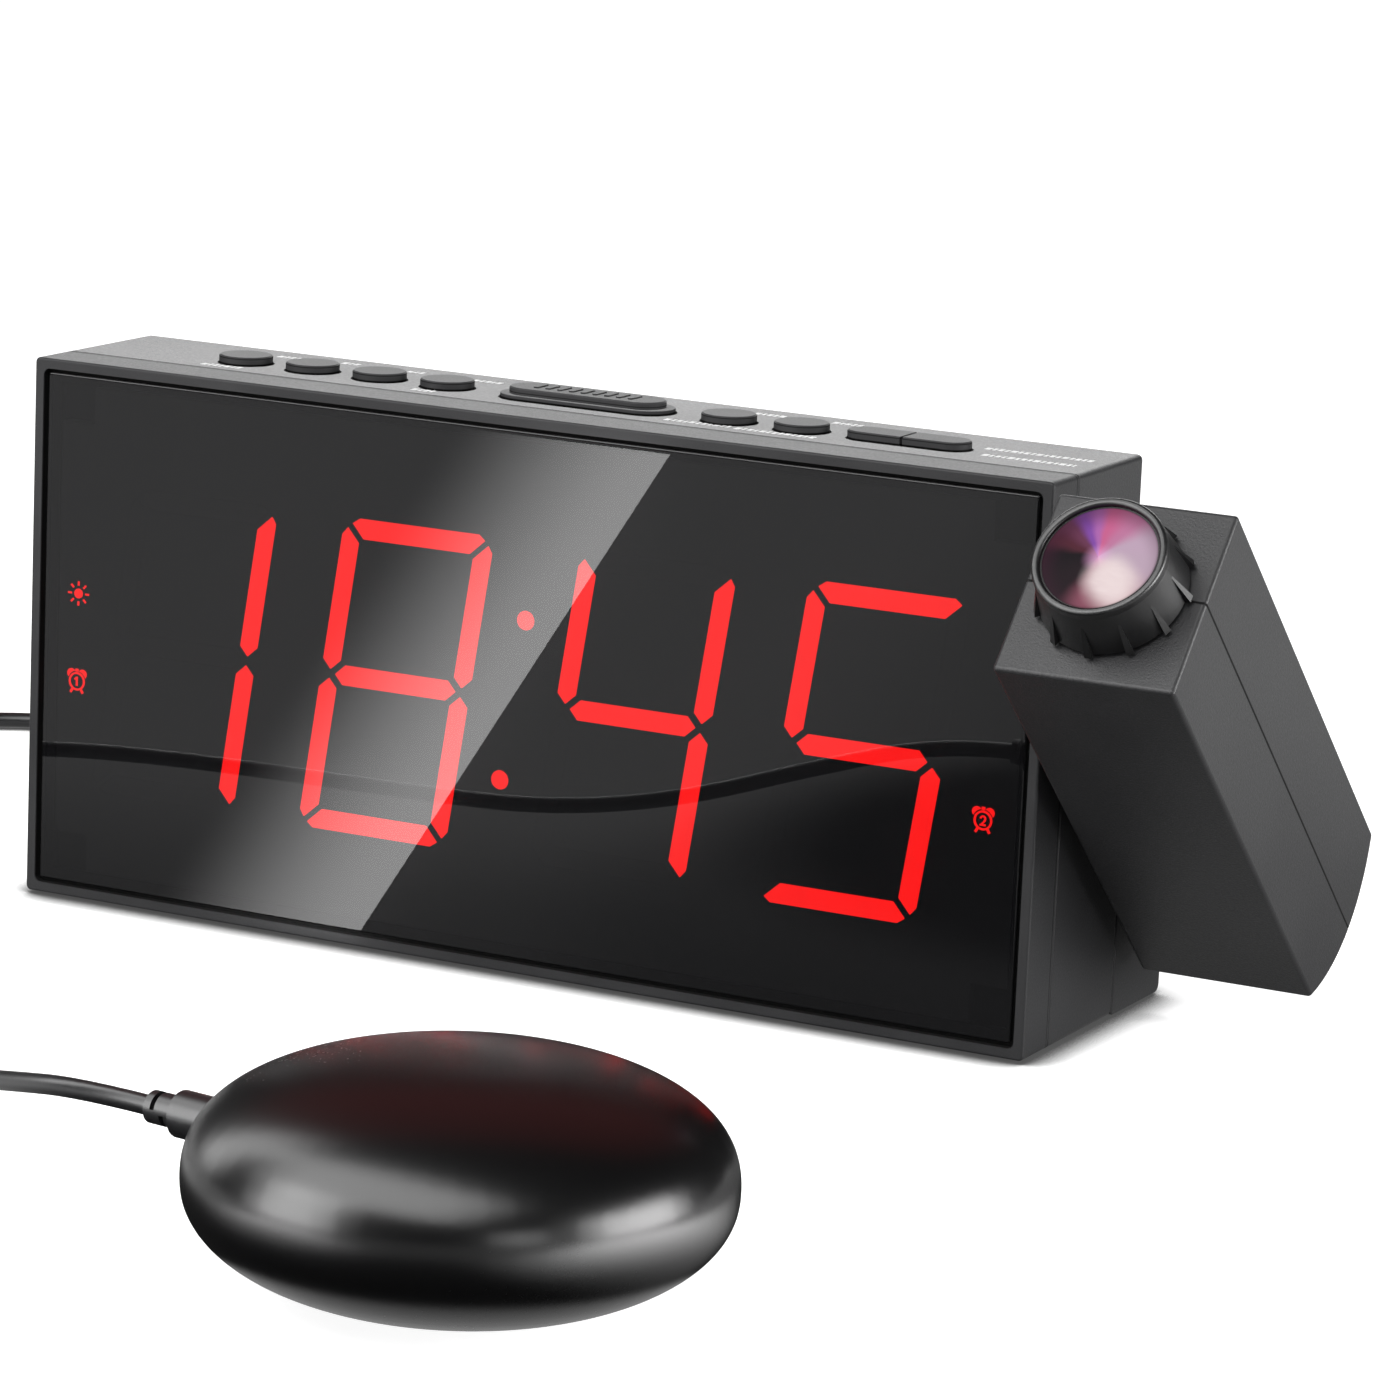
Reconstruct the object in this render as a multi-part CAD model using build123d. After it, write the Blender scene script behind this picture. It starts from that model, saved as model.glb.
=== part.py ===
from build123d import *
import math
import os

os.makedirs("parts", exist_ok=True)

# All sizes are in millimetres. X runs to the viewer's right, Y to the back, Z up.
# The origin is the middle of the resting pad's underside, under the middle of the clock.

# Case
case_width = 190.0
case_height = 93.5
bezel_depth = 9.8
slab_depth = 35.7
base_reach = 19.8
wall = 2.2
corner_radius = 0.9
front_edge_radius = 0.4
back_edge_radius = 0.8
seam_chamfer = 0.25
tongue_length = 0.8
tongue_thickness = 1.3
fit_gap = 0.1
seat_gap = 0.2

# Window and its frame
rim_width = 1.75
rim_depth = 1.6
groove_width = 0.7
window_recess = 0.3
window_thickness = 1.8
window_radius = 0.5
shelf_width = 1.6
shelf_thickness = 1.6

# Display
reflector_depth = 6.7
board_thickness = 1.6
diffuser_depth = 1.2
digit_row = 25.25
digit_half_width = 12.65
segment_half = 1.75
segment_tip = 0.8
segment_bevel = 1.3
segment_mitre = 0.7
segment_middle = 0.7
segment_reach = 0.95
segment_corner = 0.15
segment_ease = 0.04
digit_slant = 0.139
digit_raise = -1.1
hour_x = -44.5
minute_x = 42.15
digit_pitch = 41.7
shown_time = "1845"
colon_x = -1.1
colon_rise = 13.7
colon_radius = 1.65
lamp_chip_side = 1.6
lamp_chip_depth = 0.8
icon_inset_left = 4.2
icon_inset_right = 6.05
icon_drop = 9.1
sun_rise = 6.3
icon_thickness = 0.14

# Top buttons
button_depth = 19.1
button_hole_radius = 4.9
button_gap = 0.3
button_rise = 1.5
button_travel = 0.6
button_chamfer = 0.25
round_button_x = {
    "set_button": -64.7,
    "alarm_one_button": -51.4,
    "alarm_two_button": -38.2,
    "dimmer_button": -25.0,
    "minus_button": 28.2,
    "plus_button": 41.5,
}
snooze_x = 1.8
snooze_length = 32.4
snooze_width = 10.7
snooze_step_rise = 0.8
snooze_step_in = 1.6
board_post_back = 9.0
snooze_rise = 2.0
snooze_mark_height = 0.25
rocker_x = 60.9
rocker_length = 22.2
rocker_width = 7.2
rocker_split = 0.5
flange_lip = 0.9
flange_thickness = 1.0
stem_radius = 1.7
switch_size = 6.0
switch_height = 3.5

# Boards, screws and small parts inside the case
screw_radius = 1.0
screw_hole_gap = 0.15
screw_head_radius = 2.1
screw_head_height = 1.3
column_radius = 3.2
column_shoulder = 5.0
post_radius = 2.0
corner_block = 7.0
screw_bite = 4.0
case_screw_sink = 12.0
main_board_width = 112.0
main_board_height = 48.0
main_board_x = -18.0
main_board_z = 46.0
main_board_standoff = 3.5
main_post_inset = 4.0
# width, height, depth, corner and place from the board's middle, of each part on the main board
main_board_parts = [
    (11.0, 11.0, 1.6, 0.0, -14.0, 0.0),
    (10.0, 6.0, 1.7, 0.0, 12.0, 10.0),
    (10.0, 6.0, 1.7, 0.0, 12.0, -8.0),
    (7.0, 3.0, 3.0, 1.4, -30.0, 12.0),
    (30.0, 5.0, 5.0, 0.0, -16.0, 19.0),
]
capacitor_radius = 3.2
capacitor_height = 9.0
capacitor_x = 34.0
capacitor_drop = 10.0
capacitor_pitch = 9.0
speaker_x = 62.0
speaker_z = 64.0
speaker_radius = 14.0
speaker_depth = 4.5
grille_slots = 7
grille_pitch = 3.2
grille_slot_width = 1.4

# Rear base
base_rear_height = 30.0
base_front_height = 42.0
base_edge_radius = 1.4
base_screw_x = 76.0
base_screw_heights = (15.0, 30.0)
cable_slot_width = 60.0
cable_slot_height = 9.0
socket_board_height = 9.0
socket_board_left = -72.0
socket_board_right = -8.0
socket_board_depth = 15.5
board_rest_inset = 8.0
board_rest_margin = 4.0
usb_charge_x = -22.0
usb_charge_width = 13.1
usb_charge_height = 5.7
power_x = -62.0
power_width = 9.0
power_height = 3.2
socket_depth = 10.0
shell_sheet = 0.3
jack_x = -45.0
jack_centre_height = 14.6
jack_body_radius = 4.0
jack_nut_radius = 3.9
jack_nut_length = 1.4
jack_bore_radius = 1.85
jack_pin_radius = 1.75
jack_pin_length = 13.0
battery_x = 38.0
battery_height = 16.6
door_width = 27.0
door_height = 22.4
door_thickness = 1.6
door_gap = 0.25
door_ledge = 1.4
door_skirt = 0.4
door_grip_length = 9.0
door_grip_width = 0.6
door_grip_depth = 0.4
door_grip_pitch = 1.3
door_grip_rise = 3.4
cell_radius = 10.0
holder_side_walls = 5.0
holder_end_walls = 1.6
holder_floor = 3.0
cell_thickness = 3.2
pad_thickness = 0.6
pad_width = 120.0
pad_depth = 34.0

# Projector
projector_width = 29.9
projector_thickness = 32.9
projector_gap = 3.5
projector_wall = 2.0
projector_tilt = 47.7
pivot_depth = 20.3
pivot_height = 46.9
lens_end = 50.75
tail_radius = 30.0
tail_centre_back = 1.7
tail_centre_drop = 16.4
projector_edge_radius = 0.7
hub_radius = 5.0
hub_bore = 3.2
hub_disc_radius = 12.0
hub_flange_radius = 9.0
hub_flange_thickness = 1.6
running_gap = 0.05
disc_gap = 0.3
bush_radius = 8.8
bush_length = 1.8
clip_thickness = 1.2
clip_radius = 7.6
clip_groove = 0.6
clip_mouth = 4.0
hub_tail = 1.2
projector_screw_x = 8.0
projector_screw_drop = 33.0

# Projector optics
guide_radius = 11.2
guide_collar_radius = 12.2
guide_collar_thickness = 1.5
guide_foot = 12.0
barrel_radius = 9.75
barrel_bore = 9.1
barrel_depth = 14.0
ring_height = 9.6
ring_gap = 0.4
ring_rim_radius = 10.7
ring_lip_radius = 9.35
ring_rim_height = 1.5
ring_rim_round = 0.55
ring_base_radius = 11.9
ring_base_step = 0.4
ring_rib_radius = 12.8
ring_rib_count = 12
ring_rib_width = 1.2
ring_rib_tip = 0.24
ring_rib_height = 7.0
focus_travel = 2.5
lens_recess = 0.8
lens_bulge = 1.3
lens_edge = 1.6
lens_seat = 0.7
film_seat_depth = 3.5
film_width = 14.0
film_height = 9.0
film_thickness = 1.1
film_ledge = 1.2
lamp_tube_foot = -20.0
lamp_tube_radius = 10.8
lamp_tube_wall = 1.4
condenser_radius = 9.2
condenser_thickness = 4.0
lamp_board_depth = 25.0
lamp_radius = 2.5
lamp_height = 2.0

# Bed shaker
shaker_x = 80.4
shaker_y = -183.25
shaker_radius = 38.1
shaker_height = 33.8
shaker_waist = 16.7
shaker_upper_power = 2.4
shaker_lower_power = 2.19
shaker_wall = 2.2
shaker_foot = 0.6
shaker_split = 6.0
shaker_pad_radius = 11.0
shaker_pad_sink = 0.4
shaker_screw_circle = 20.0
shaker_screw_count = 3
shaker_boss_height = 10.0
shaker_screw_turn = 60.0
motor_radius = 9.5
motor_length = 22.0
motor_back = -15.0
shaft_radius = 1.5
shaft_reach = 8.0
weight_radius = 9.0
weight_length = 8.0
weight_gap = 1.2
bracket_width = 13.0
bracket_thickness = 2.0
relief_angle = 8.5
relief_height = 16.0
relief_tip = 55.2
relief_sleeve = 5.3
relief_collar_radius = 3.45
relief_sleeve_radius = 2.4
relief_slot = 0.8
relief_flange_radius = 4.8
relief_flange = 1.6

# Shaker lead
cord_radius = 1.5
plug_radius = 4.0
plug_length = 17.0
boot_length = 9.0
boot_run = 12.0
boot_tip_radius = 1.9
coil_x = -160.0
coil_y = -9.75
coil_inner_radius = 13.0
coil_pitch = 3.1
coil_turns = 4
coil_stub = 12.5
coil_skin = 0.05
relief_run = 14.0

# Derived places
case_depth = slab_depth + base_reach
front_y = -case_depth / 2
seam_y = front_y + bezel_depth
slab_back_y = front_y + slab_depth
rear_y = front_y + case_depth
floor_z = pad_thickness
top_z = floor_z + case_height
mid_z = floor_z + case_height / 2
back_wall_y = slab_back_y - wall
half_width = case_width / 2

window_y = front_y + window_recess
window_back_y = window_y + window_thickness
shelf_back_y = window_back_y + shelf_thickness
window_width = case_width - 2 * (rim_width + groove_width)
window_height = case_height - 2 * (rim_width + groove_width)
reflector_y = window_back_y + seat_gap
display_board_y = reflector_y + reflector_depth
cavity_width = case_width - 2 * (wall + fit_gap + tongue_thickness)
cavity_height = case_height - 2 * (wall + fit_gap + tongue_thickness)
shelf_opening_width = window_width - 2 * shelf_width
shelf_opening_height = window_height - 2 * shelf_width
block_x = cavity_width / 2 - corner_block / 2
block_z = cavity_height / 2 - corner_block / 2
digit_centres = [centre + way * digit_pitch / 2 for centre in (hour_x, minute_x) for way in (-1, 1)]
corners = [(sx * block_x, mid_z + sz * block_z) for sx in (-1, 1) for sz in (-1, 1)]

buttons_y = front_y + button_depth
under_top_z = top_z - wall
flange_z = under_top_z - running_gap - flange_thickness
switch_top_z = flange_z - button_travel - seat_gap
button_board_z = switch_top_z - switch_height
post_y = buttons_y + board_post_back
board_post_x = (-72.0, -18.0, 22.0, 76.0)

main_board_y = back_wall_y - main_board_standoff - board_thickness
main_posts = [
    (
        main_board_x + sx * (main_board_width / 2 - main_post_inset),
        main_board_z + sz * (main_board_height / 2 - main_post_inset),
    )
    for sx in (-1, 1)
    for sz in (-1, 1)
]

base_inner_y = rear_y - wall
socket_board_z = floor_z + socket_board_height
socket_face_z = socket_board_z + board_thickness
jack_z = floor_z + jack_centre_height
usb_z = socket_face_z + usb_charge_height / 2
power_z = socket_face_z + power_height / 2
battery_z = floor_z + battery_height

side_x = half_width
projector_x0 = side_x + projector_gap
projector_x1 = projector_x0 + projector_width
projector_mid = projector_width / 2
pivot_y = front_y + pivot_depth
pivot_z = floor_z + pivot_height
barrel_foot = lens_end - barrel_depth
ring_foot = lens_end + ring_gap
ring_top = ring_foot + ring_height


def block(x0, x1, y0, y1, z0, z1):
    return Pos((x0 + x1) / 2, (y0 + y1) / 2, (z0 + z1) / 2) * Box(x1 - x0, y1 - y0, z1 - z0)


def rod_x(radius, x0, x1, y, z):
    return Pos((x0 + x1) / 2, y, z) * Rot(0, 90, 0) * Cylinder(radius, x1 - x0)


def rod_y(radius, y0, y1, x, z):
    return Pos(x, (y0 + y1) / 2, z) * Rot(90, 0, 0) * Cylinder(radius, y1 - y0)


def rod_z(radius, z0, z1, x, y):
    return Pos(x, y, (z0 + z1) / 2) * Cylinder(radius, z1 - z0)


def panel(width, height, y0, y1, radius, x=0.0, z=mid_z):
    # an upright plate with rounded corners, facing the front
    outline = RectangleRounded(width, height, radius) if radius else Rectangle(width, height)
    return Pos(x, y1, z) * extrude(Plane.XZ * outline, amount=y1 - y0)


def pill(length, width, z0, z1, x, y):
    # a lying disc or stadium, long in X
    outline = Circle(width / 2) if length <= width else SlotOverall(length, width)
    return Pos(x, y, z0) * extrude(outline, amount=z1 - z0)


def screw_y(head_y, length, x, z, way):
    # a pan-head screw whose shank runs from head_y along +Y (way 1) or -Y (way -1)
    head = rod_y(screw_head_radius, *sorted((head_y, head_y - way * screw_head_height)), x, z)
    shank = rod_y(screw_radius, *sorted((head_y, head_y + way * length)), x, z)
    return head + shank


def screw_z(head_z, length, x, y):
    # a pan-head screw driven upwards
    head = rod_z(screw_head_radius, head_z - screw_head_height, head_z, x, y)
    return head + rod_z(screw_radius, head_z, head_z + length, x, y)


def save(name, *shapes):
    solids = [solid for shape in shapes for solid in shape.solids()]
    whole = solids[0] if len(solids) == 1 else Compound(children=solids)
    whole.label = name
    export_step(whole, f"parts/{name}.step")


# Bezel, window and display ------------------------------------------------

def make_bezel():
    shell = panel(case_width, case_height, front_y, seam_y, corner_radius)
    shell = fillet(shell.edges().group_by(Axis.Y)[0], front_edge_radius)
    shell = chamfer(shell.edges().group_by(Axis.Y)[-1], seam_chamfer)
    mouth = case_width - 2 * rim_width
    mouth_height = case_height - 2 * rim_width
    shell -= panel(mouth, mouth_height, front_y, front_y + rim_depth, window_radius + groove_width)
    shell -= panel(window_width, window_height, front_y, window_back_y, window_radius)
    shell -= panel(shelf_opening_width, shelf_opening_height, front_y, seam_y, 0)
    shell -= panel(cavity_width, cavity_height, shelf_back_y, seam_y, 0)
    tongue_width = case_width - 2 * (wall + fit_gap)
    tongue_height = case_height - 2 * (wall + fit_gap)
    tongue = panel(tongue_width, tongue_height, seam_y, seam_y + tongue_length, 0)
    shell += tongue - panel(cavity_width, cavity_height, seam_y, seam_y + tongue_length, 0)
    block_back_y = display_board_y
    for x, z in corners:
        shell += panel(corner_block, corner_block, shelf_back_y, block_back_y, 0, x, z)
    for x, z in corners:
        shell -= rod_y(screw_radius + running_gap, block_back_y - screw_bite, block_back_y, x, z)
    return shell


def make_window():
    pane = panel(
        window_width - 2 * fit_gap, window_height - 2 * fit_gap, window_y, window_back_y, window_radius
    )
    return chamfer(pane.edges().group_by(Axis.Y)[0], seam_chamfer)


def segment_outline(name):
    # one of the seven bars of an upright digit, as points about the digit's centre
    node, row, half = digit_half_width, digit_row, segment_half
    tip, bevel, mitre = segment_tip, segment_bevel, segment_mitre
    if name in "ad":
        way = 1 if name == "a" else -1
        reach = node + tip - mitre
        right = [
            (reach - bevel, way * (row + half)),
            (reach, way * (row + tip)),
            (node - mitre - half, way * (row - half)),
        ]
        return right + [(-u, v) for u, v in reversed(right)]
    if name == "g":
        reach = node - segment_reach
        right = [(reach - half, half), (reach, 0.0), (reach - half, -half)]
        return right + [(-u, v) for u, v in reversed(right)]
    side = 1 if name in "bc" else -1
    way = 1 if name in "bf" else -1
    upper = [
        (node + tip, row + tip - mitre),
        (node + half, row + tip - mitre - bevel),
        (node + half, segment_middle + half),
        (node, segment_middle),
        (node - half, segment_middle + half),
        (node - half, row - half - mitre),
    ]
    return [(side * u, way * v) for u, v in upper]


def segment(name, centre, y0, y1, ease):
    points = [(u + digit_slant * v, v) for u, v in segment_outline(name)]
    outline = make_face(Polyline(*points, close=True))
    outline = fillet(outline.vertices(), segment_corner)
    if ease:
        outline = offset(outline, amount=-ease)
    return Pos(centre, y1, mid_z + digit_raise) * extrude(Plane.XZ * outline, amount=y1 - y0)


lit_bars = {"1": "bc", "8": "abcdefg", "4": "bcfg", "5": "acdfg"}
diffuser_y1 = reflector_y + diffuser_depth
wells = []
lit = []
unlit = []
for digit_x, figure in zip(digit_centres, shown_time):
    for bar in "abcdefg":
        wells.append(segment(bar, digit_x, reflector_y, display_board_y, 0))
        glow = segment(bar, digit_x, reflector_y, diffuser_y1, segment_ease)
        (lit if bar in lit_bars[figure] else unlit).append(glow)
colon_spots = [
    (colon_x + digit_slant * way * colon_rise, mid_z + digit_raise + way * colon_rise) for way in (-1, 1)
]
for x, z in colon_spots:
    wells.append(rod_y(colon_radius, reflector_y, display_board_y, x, z))
    lit.append(rod_y(colon_radius - segment_ease, reflector_y, diffuser_y1, x, z))


def make_reflector():
    width = shelf_opening_width - 6 * fit_gap
    height = shelf_opening_height - 6 * fit_gap
    body = panel(width, height, reflector_y, display_board_y, 0)
    for x, z in corners:
        body -= panel(
            corner_block + 2 * seat_gap, corner_block + 2 * seat_gap, reflector_y, display_board_y, 0, x, z
        )
    return body - wells


def icon_solid(sketch, x, z):
    y1 = reflector_y - (seat_gap - icon_thickness) / 4
    return Pos(x, y1, z) * extrude(Plane.XZ * sketch, amount=icon_thickness)


def alarm_icon(figure):
    # a small bell clock with a plain number on its face
    ring = 1.62
    line = 0.34
    gap = 0.22
    sketch = Circle(ring) - Circle(ring - line)
    bell = Pos(0, ring + 0.12) * Circle(0.85) - Circle(ring + gap)
    for turn in (-40, 40):
        sketch += Rot(0, 0, turn) * bell
    sketch += Pos(0, ring + 0.34) * Rectangle(0.62, 0.5)
    for turn in (-32, 32):
        sketch += Rot(0, 0, turn) * Pos(0, -ring - 0.3) * Rectangle(0.42, 0.9)
    if figure == "1":
        number = Rectangle(0.36, 1.6) + Pos(-0.24, 0.5) * Rot(0, 0, 40) * Rectangle(0.56, 0.3)
    else:
        loop = Circle(0.55) - Circle(0.25)
        loop -= Pos(-0.4, -0.5) * Rectangle(1.0, 1.0)
        number = Pos(0, 0.27) * loop
        number += Pos(0.02, -0.4) * Rot(0, 0, 48) * Rectangle(1.08, 0.3)
        number += Pos(0, -0.76) * Rectangle(1.06, 0.28)
    return sketch + number


def sun_icon():
    # a plain sun for summer time
    sketch = Circle(0.85)
    for turn in range(0, 360, 45):
        sketch += Rot(0, 0, turn) * Pos(0, 1.75) * Rectangle(0.32, 0.75)
    return sketch


icon_z = mid_z - icon_drop
left_icon_x = icon_inset_left - shelf_opening_width / 2
right_icon_x = shelf_opening_width / 2 - icon_inset_right
icons = [
    icon_solid(alarm_icon("1"), left_icon_x, icon_z),
    icon_solid(alarm_icon("2"), right_icon_x, icon_z),
    icon_solid(sun_icon(), left_icon_x, mid_z + sun_rise),
]


def make_display_board():
    width = cavity_width - 4 * fit_gap
    height = cavity_height - 4 * fit_gap
    board = panel(width, height, display_board_y, display_board_y + board_thickness, 0)
    for x, z in corners:
        notch = corner_block + 2 * seat_gap
        board -= panel(notch, notch, display_board_y, display_board_y + board_thickness, 0, x, z)
    return board


def make_display_chips():
    # two small red lamps behind each bar and one behind each colon dot
    chips = []
    for digit_x in digit_centres:
        for bar in "abcdefg":
            points = segment_outline(bar)
            cu = sum(u for u, _ in points) / len(points)
            cv = sum(v for _, v in points) / len(points)
            along = (1, 0) if bar in "adg" else (digit_slant, 1)
            for way in (-1, 1):
                u = cu + digit_slant * cv + way * along[0] * digit_row / 5
                v = cv + way * along[1] * digit_row / 5
                chips.append((digit_x + u, mid_z + digit_raise + v))
    chips += colon_spots
    return [
        panel(lamp_chip_side, lamp_chip_side, display_board_y - lamp_chip_depth, display_board_y, 0, x, z)
        for x, z in chips
    ]


# Housing --------------------------------------------------------------------

def button_outlines():
    # hole length and width, and middle, of every opening in the top
    holes = [(2 * button_hole_radius, 2 * button_hole_radius, x) for x in round_button_x.values()]
    holes.append((snooze_length, snooze_width, snooze_x))
    holes.append((rocker_length, rocker_width, rocker_x))
    return holes


def make_housing():
    shell = panel(case_width, case_height, seam_y, slab_back_y, corner_radius)
    shell = chamfer(shell.edges().group_by(Axis.Y)[0], seam_chamfer)
    shell = fillet(shell.edges().group_by(Axis.Y)[-1], back_edge_radius)
    inner_width = case_width - 2 * wall
    inner_height = case_height - 2 * wall
    shell -= panel(inner_width, inner_height, seam_y, back_wall_y, 0)
    shoulder_y = display_board_y + board_thickness + running_gap
    for x, z in corners:
        shell += rod_y(column_radius, display_board_y + running_gap, back_wall_y, x, z)
        shell += rod_y(column_shoulder, shoulder_y, back_wall_y, x, z)
    inner_x = half_width - wall
    shell += rod_x(bush_radius, inner_x - bush_length, inner_x, pivot_y, pivot_z)
    for x in board_post_x:
        shell += rod_z(post_radius, button_board_z, under_top_z, x, post_y)
    for x, z in main_posts:
        shell += rod_y(post_radius, main_board_y + board_thickness, back_wall_y, x, z)
    for x, z in corners:
        shell -= rod_y(screw_radius + screw_hole_gap, display_board_y, slab_back_y, x, z)
        shell -= rod_y(screw_head_radius + screw_hole_gap, slab_back_y - case_screw_sink, slab_back_y, x, z)
    for x in board_post_x:
        shell -= rod_z(screw_radius + running_gap, button_board_z, button_board_z + screw_bite, x, post_y)
    for x, z in main_posts:
        hole_y = main_board_y + board_thickness
        shell -= rod_y(screw_radius + running_gap, hole_y, hole_y + screw_bite, x, z)
    for x in (-base_screw_x, base_screw_x):
        for height in base_screw_heights:
            shell -= rod_y(screw_radius + screw_hole_gap, back_wall_y, slab_back_y, x, floor_z + height)
    for length, width, x in button_outlines():
        shell -= pill(length, width, under_top_z, top_z, x, buttons_y)
    shell -= rod_x(hub_radius + running_gap, inner_x - bush_length, half_width, pivot_y, pivot_z)
    slot_z = floor_z + base_screw_heights[1] - cable_slot_height
    shell -= panel(cable_slot_width, cable_slot_height, back_wall_y, slab_back_y, 1.0, 0.0, slot_z)
    for index in range(grille_slots):
        rise = (index - (grille_slots - 1) / 2) * grille_pitch
        length = 2 * math.sqrt((speaker_radius - 2) ** 2 - rise**2)
        shell -= panel(
            length, grille_slot_width, back_wall_y, slab_back_y, grille_slot_width * 0.45,
            speaker_x, floor_z + speaker_z + rise,
        )
    return shell


def make_case_screws():
    head_y = slab_back_y - case_screw_sink
    length = head_y - (display_board_y - screw_bite + seat_gap)
    return [screw_y(head_y, length, x, z, -1) for x, z in corners]


# Buttons --------------------------------------------------------------------

def cap_body(length, width, x, rise):
    head = pill(
        length - 2 * button_gap, width - 2 * button_gap, flange_z, top_z + rise, x, buttons_y
    )
    head = chamfer(head.edges().group_by(Axis.Z)[-1], button_chamfer)
    return head + pill(
        length + 2 * flange_lip, width + 2 * flange_lip, flange_z, flange_z + flange_thickness, x, buttons_y
    )


stem_foot_z = switch_top_z - seat_gap


def stem(x):
    return rod_z(stem_radius, stem_foot_z, flange_z + seat_gap, x, buttons_y)


def make_round_button(x):
    size = 2 * button_hole_radius
    return cap_body(size, size, x, button_rise) + stem(x)


def make_snooze():
    bar = pill(
        snooze_length - 2 * button_gap, snooze_width - 2 * button_gap, flange_z,
        top_z + snooze_step_rise, snooze_x, buttons_y,
    )
    bar = fillet(bar.edges().group_by(Axis.Z)[-1], button_chamfer / 2)
    raised_length = snooze_length - 2 * (button_gap + snooze_step_in)
    raised_width = snooze_width - 2 * (button_gap + snooze_step_in * 0.6)
    raised = pill(raised_length, raised_width, top_z, top_z + snooze_rise, snooze_x, buttons_y)
    raised = chamfer(raised.edges().group_by(Axis.Z)[-1], button_chamfer)
    bar += raised
    bar += pill(
        snooze_length + 2 * flange_lip, snooze_width + 2 * flange_lip,
        flange_z, flange_z + flange_thickness, snooze_x, buttons_y,
    )
    mark_z = top_z + snooze_rise
    rib_count = 9
    rib_pitch = raised_length * 0.62 / (rib_count - 1)
    for index in range(rib_count):
        x = snooze_x + (index - (rib_count - 1) / 2) * rib_pitch
        rib = pill(raised_width * 0.5, 1.0, mark_z - 0.1, mark_z + snooze_mark_height, 0, 0)
        bar += Pos(x, buttons_y, 0) * Rot(0, 0, 90) * rib
    return bar + stem(snooze_x)


def make_rocker_half(way):
    whole = cap_body(rocker_length, rocker_width, rocker_x, button_rise)
    reach = rocker_length
    low = rocker_x + rocker_split / 2 if way > 0 else rocker_x - reach
    high = rocker_x + reach if way > 0 else rocker_x - rocker_split / 2
    keep = block(low, high, buttons_y - reach, buttons_y + reach, flange_z - 1, top_z + 2 * button_rise)
    return (whole & keep) + stem(rocker_stem_x(way))


def rocker_stem_x(way):
    return rocker_x + way * rocker_length / 4


switch_x = list(round_button_x.values()) + [snooze_x, rocker_stem_x(-1), rocker_stem_x(1)]


def make_switches():
    bodies = []
    for x in switch_x:
        body = block(
            x - switch_size / 2, x + switch_size / 2,
            buttons_y - switch_size / 2, buttons_y + switch_size / 2,
            button_board_z, switch_top_z,
        )
        well_z = switch_top_z - button_travel - 2 * seat_gap
        bodies.append(body - rod_z(stem_radius + fit_gap, well_z, switch_top_z, x, buttons_y))
    return bodies


def make_button_board():
    left = board_post_x[0] - 2 * post_radius
    right = board_post_x[-1] + 2 * post_radius
    board = block(
        left, right, buttons_y - switch_size, post_y + 1.5 * post_radius,
        button_board_z - board_thickness, button_board_z,
    )
    for x in board_post_x:
        board -= rod_z(
            screw_radius + screw_hole_gap, button_board_z - board_thickness, button_board_z, x, post_y
        )
    return board


# Boards inside --------------------------------------------------------------

def make_main_board():
    board = panel(
        main_board_width, main_board_height, main_board_y, main_board_y + board_thickness,
        0, main_board_x, main_board_z,
    )
    for x, z in main_posts:
        board -= rod_y(
            screw_radius + screw_hole_gap, main_board_y, main_board_y + board_thickness, x, z
        )
    return board


def make_board_parts():
    # the controller, two drivers, a crystal and a cable header, and two capacitors
    y = main_board_y
    parts = [
        panel(width, height, y - depth, y, corner, main_board_x + x, main_board_z + z)
        for width, height, depth, corner, x, z in main_board_parts
    ]
    for step in (0, 1):
        x = main_board_x + capacitor_x + capacitor_pitch * step
        z = main_board_z - capacitor_drop
        parts.append(rod_y(capacitor_radius, y - capacitor_height, y, x, z))
    return parts


def make_board_screws():
    length = board_thickness + screw_bite - 4 * seat_gap
    screws = [screw_z(button_board_z - board_thickness, length, x, post_y) for x in board_post_x]
    return screws + [screw_y(main_board_y, length, x, z, 1) for x, z in main_posts]


def make_speaker():
    z = floor_z + speaker_z
    frame_y = back_wall_y - speaker_depth
    frame = rod_y(speaker_radius, frame_y, back_wall_y, speaker_x, z)
    frame -= rod_y(speaker_radius - 1.5, back_wall_y - 1.5, back_wall_y, speaker_x, z)
    return frame + rod_y(speaker_radius / 2, frame_y - speaker_depth, frame_y, speaker_x, z)


# Rear base --------------------------------------------------------------------

def base_profile(inset):
    # the side outline of the base: floor, upright back and a sloping top
    low = floor_z + inset
    back = rear_y - inset
    slope = (base_front_height - base_rear_height) / base_reach
    drop = inset * math.sqrt(1 + slope**2)
    front_top = floor_z + base_front_height - drop
    rear_top = floor_z + base_rear_height - drop + slope * inset
    return [(slab_back_y, low), (back, low), (back, rear_top), (slab_back_y, front_top)]


def base_prism(inset):
    face = Plane.YZ * make_face(Polyline(*base_profile(inset), close=True))
    half = half_width - inset
    return Pos(-half, 0, 0) * extrude(face, amount=2 * half)


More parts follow.
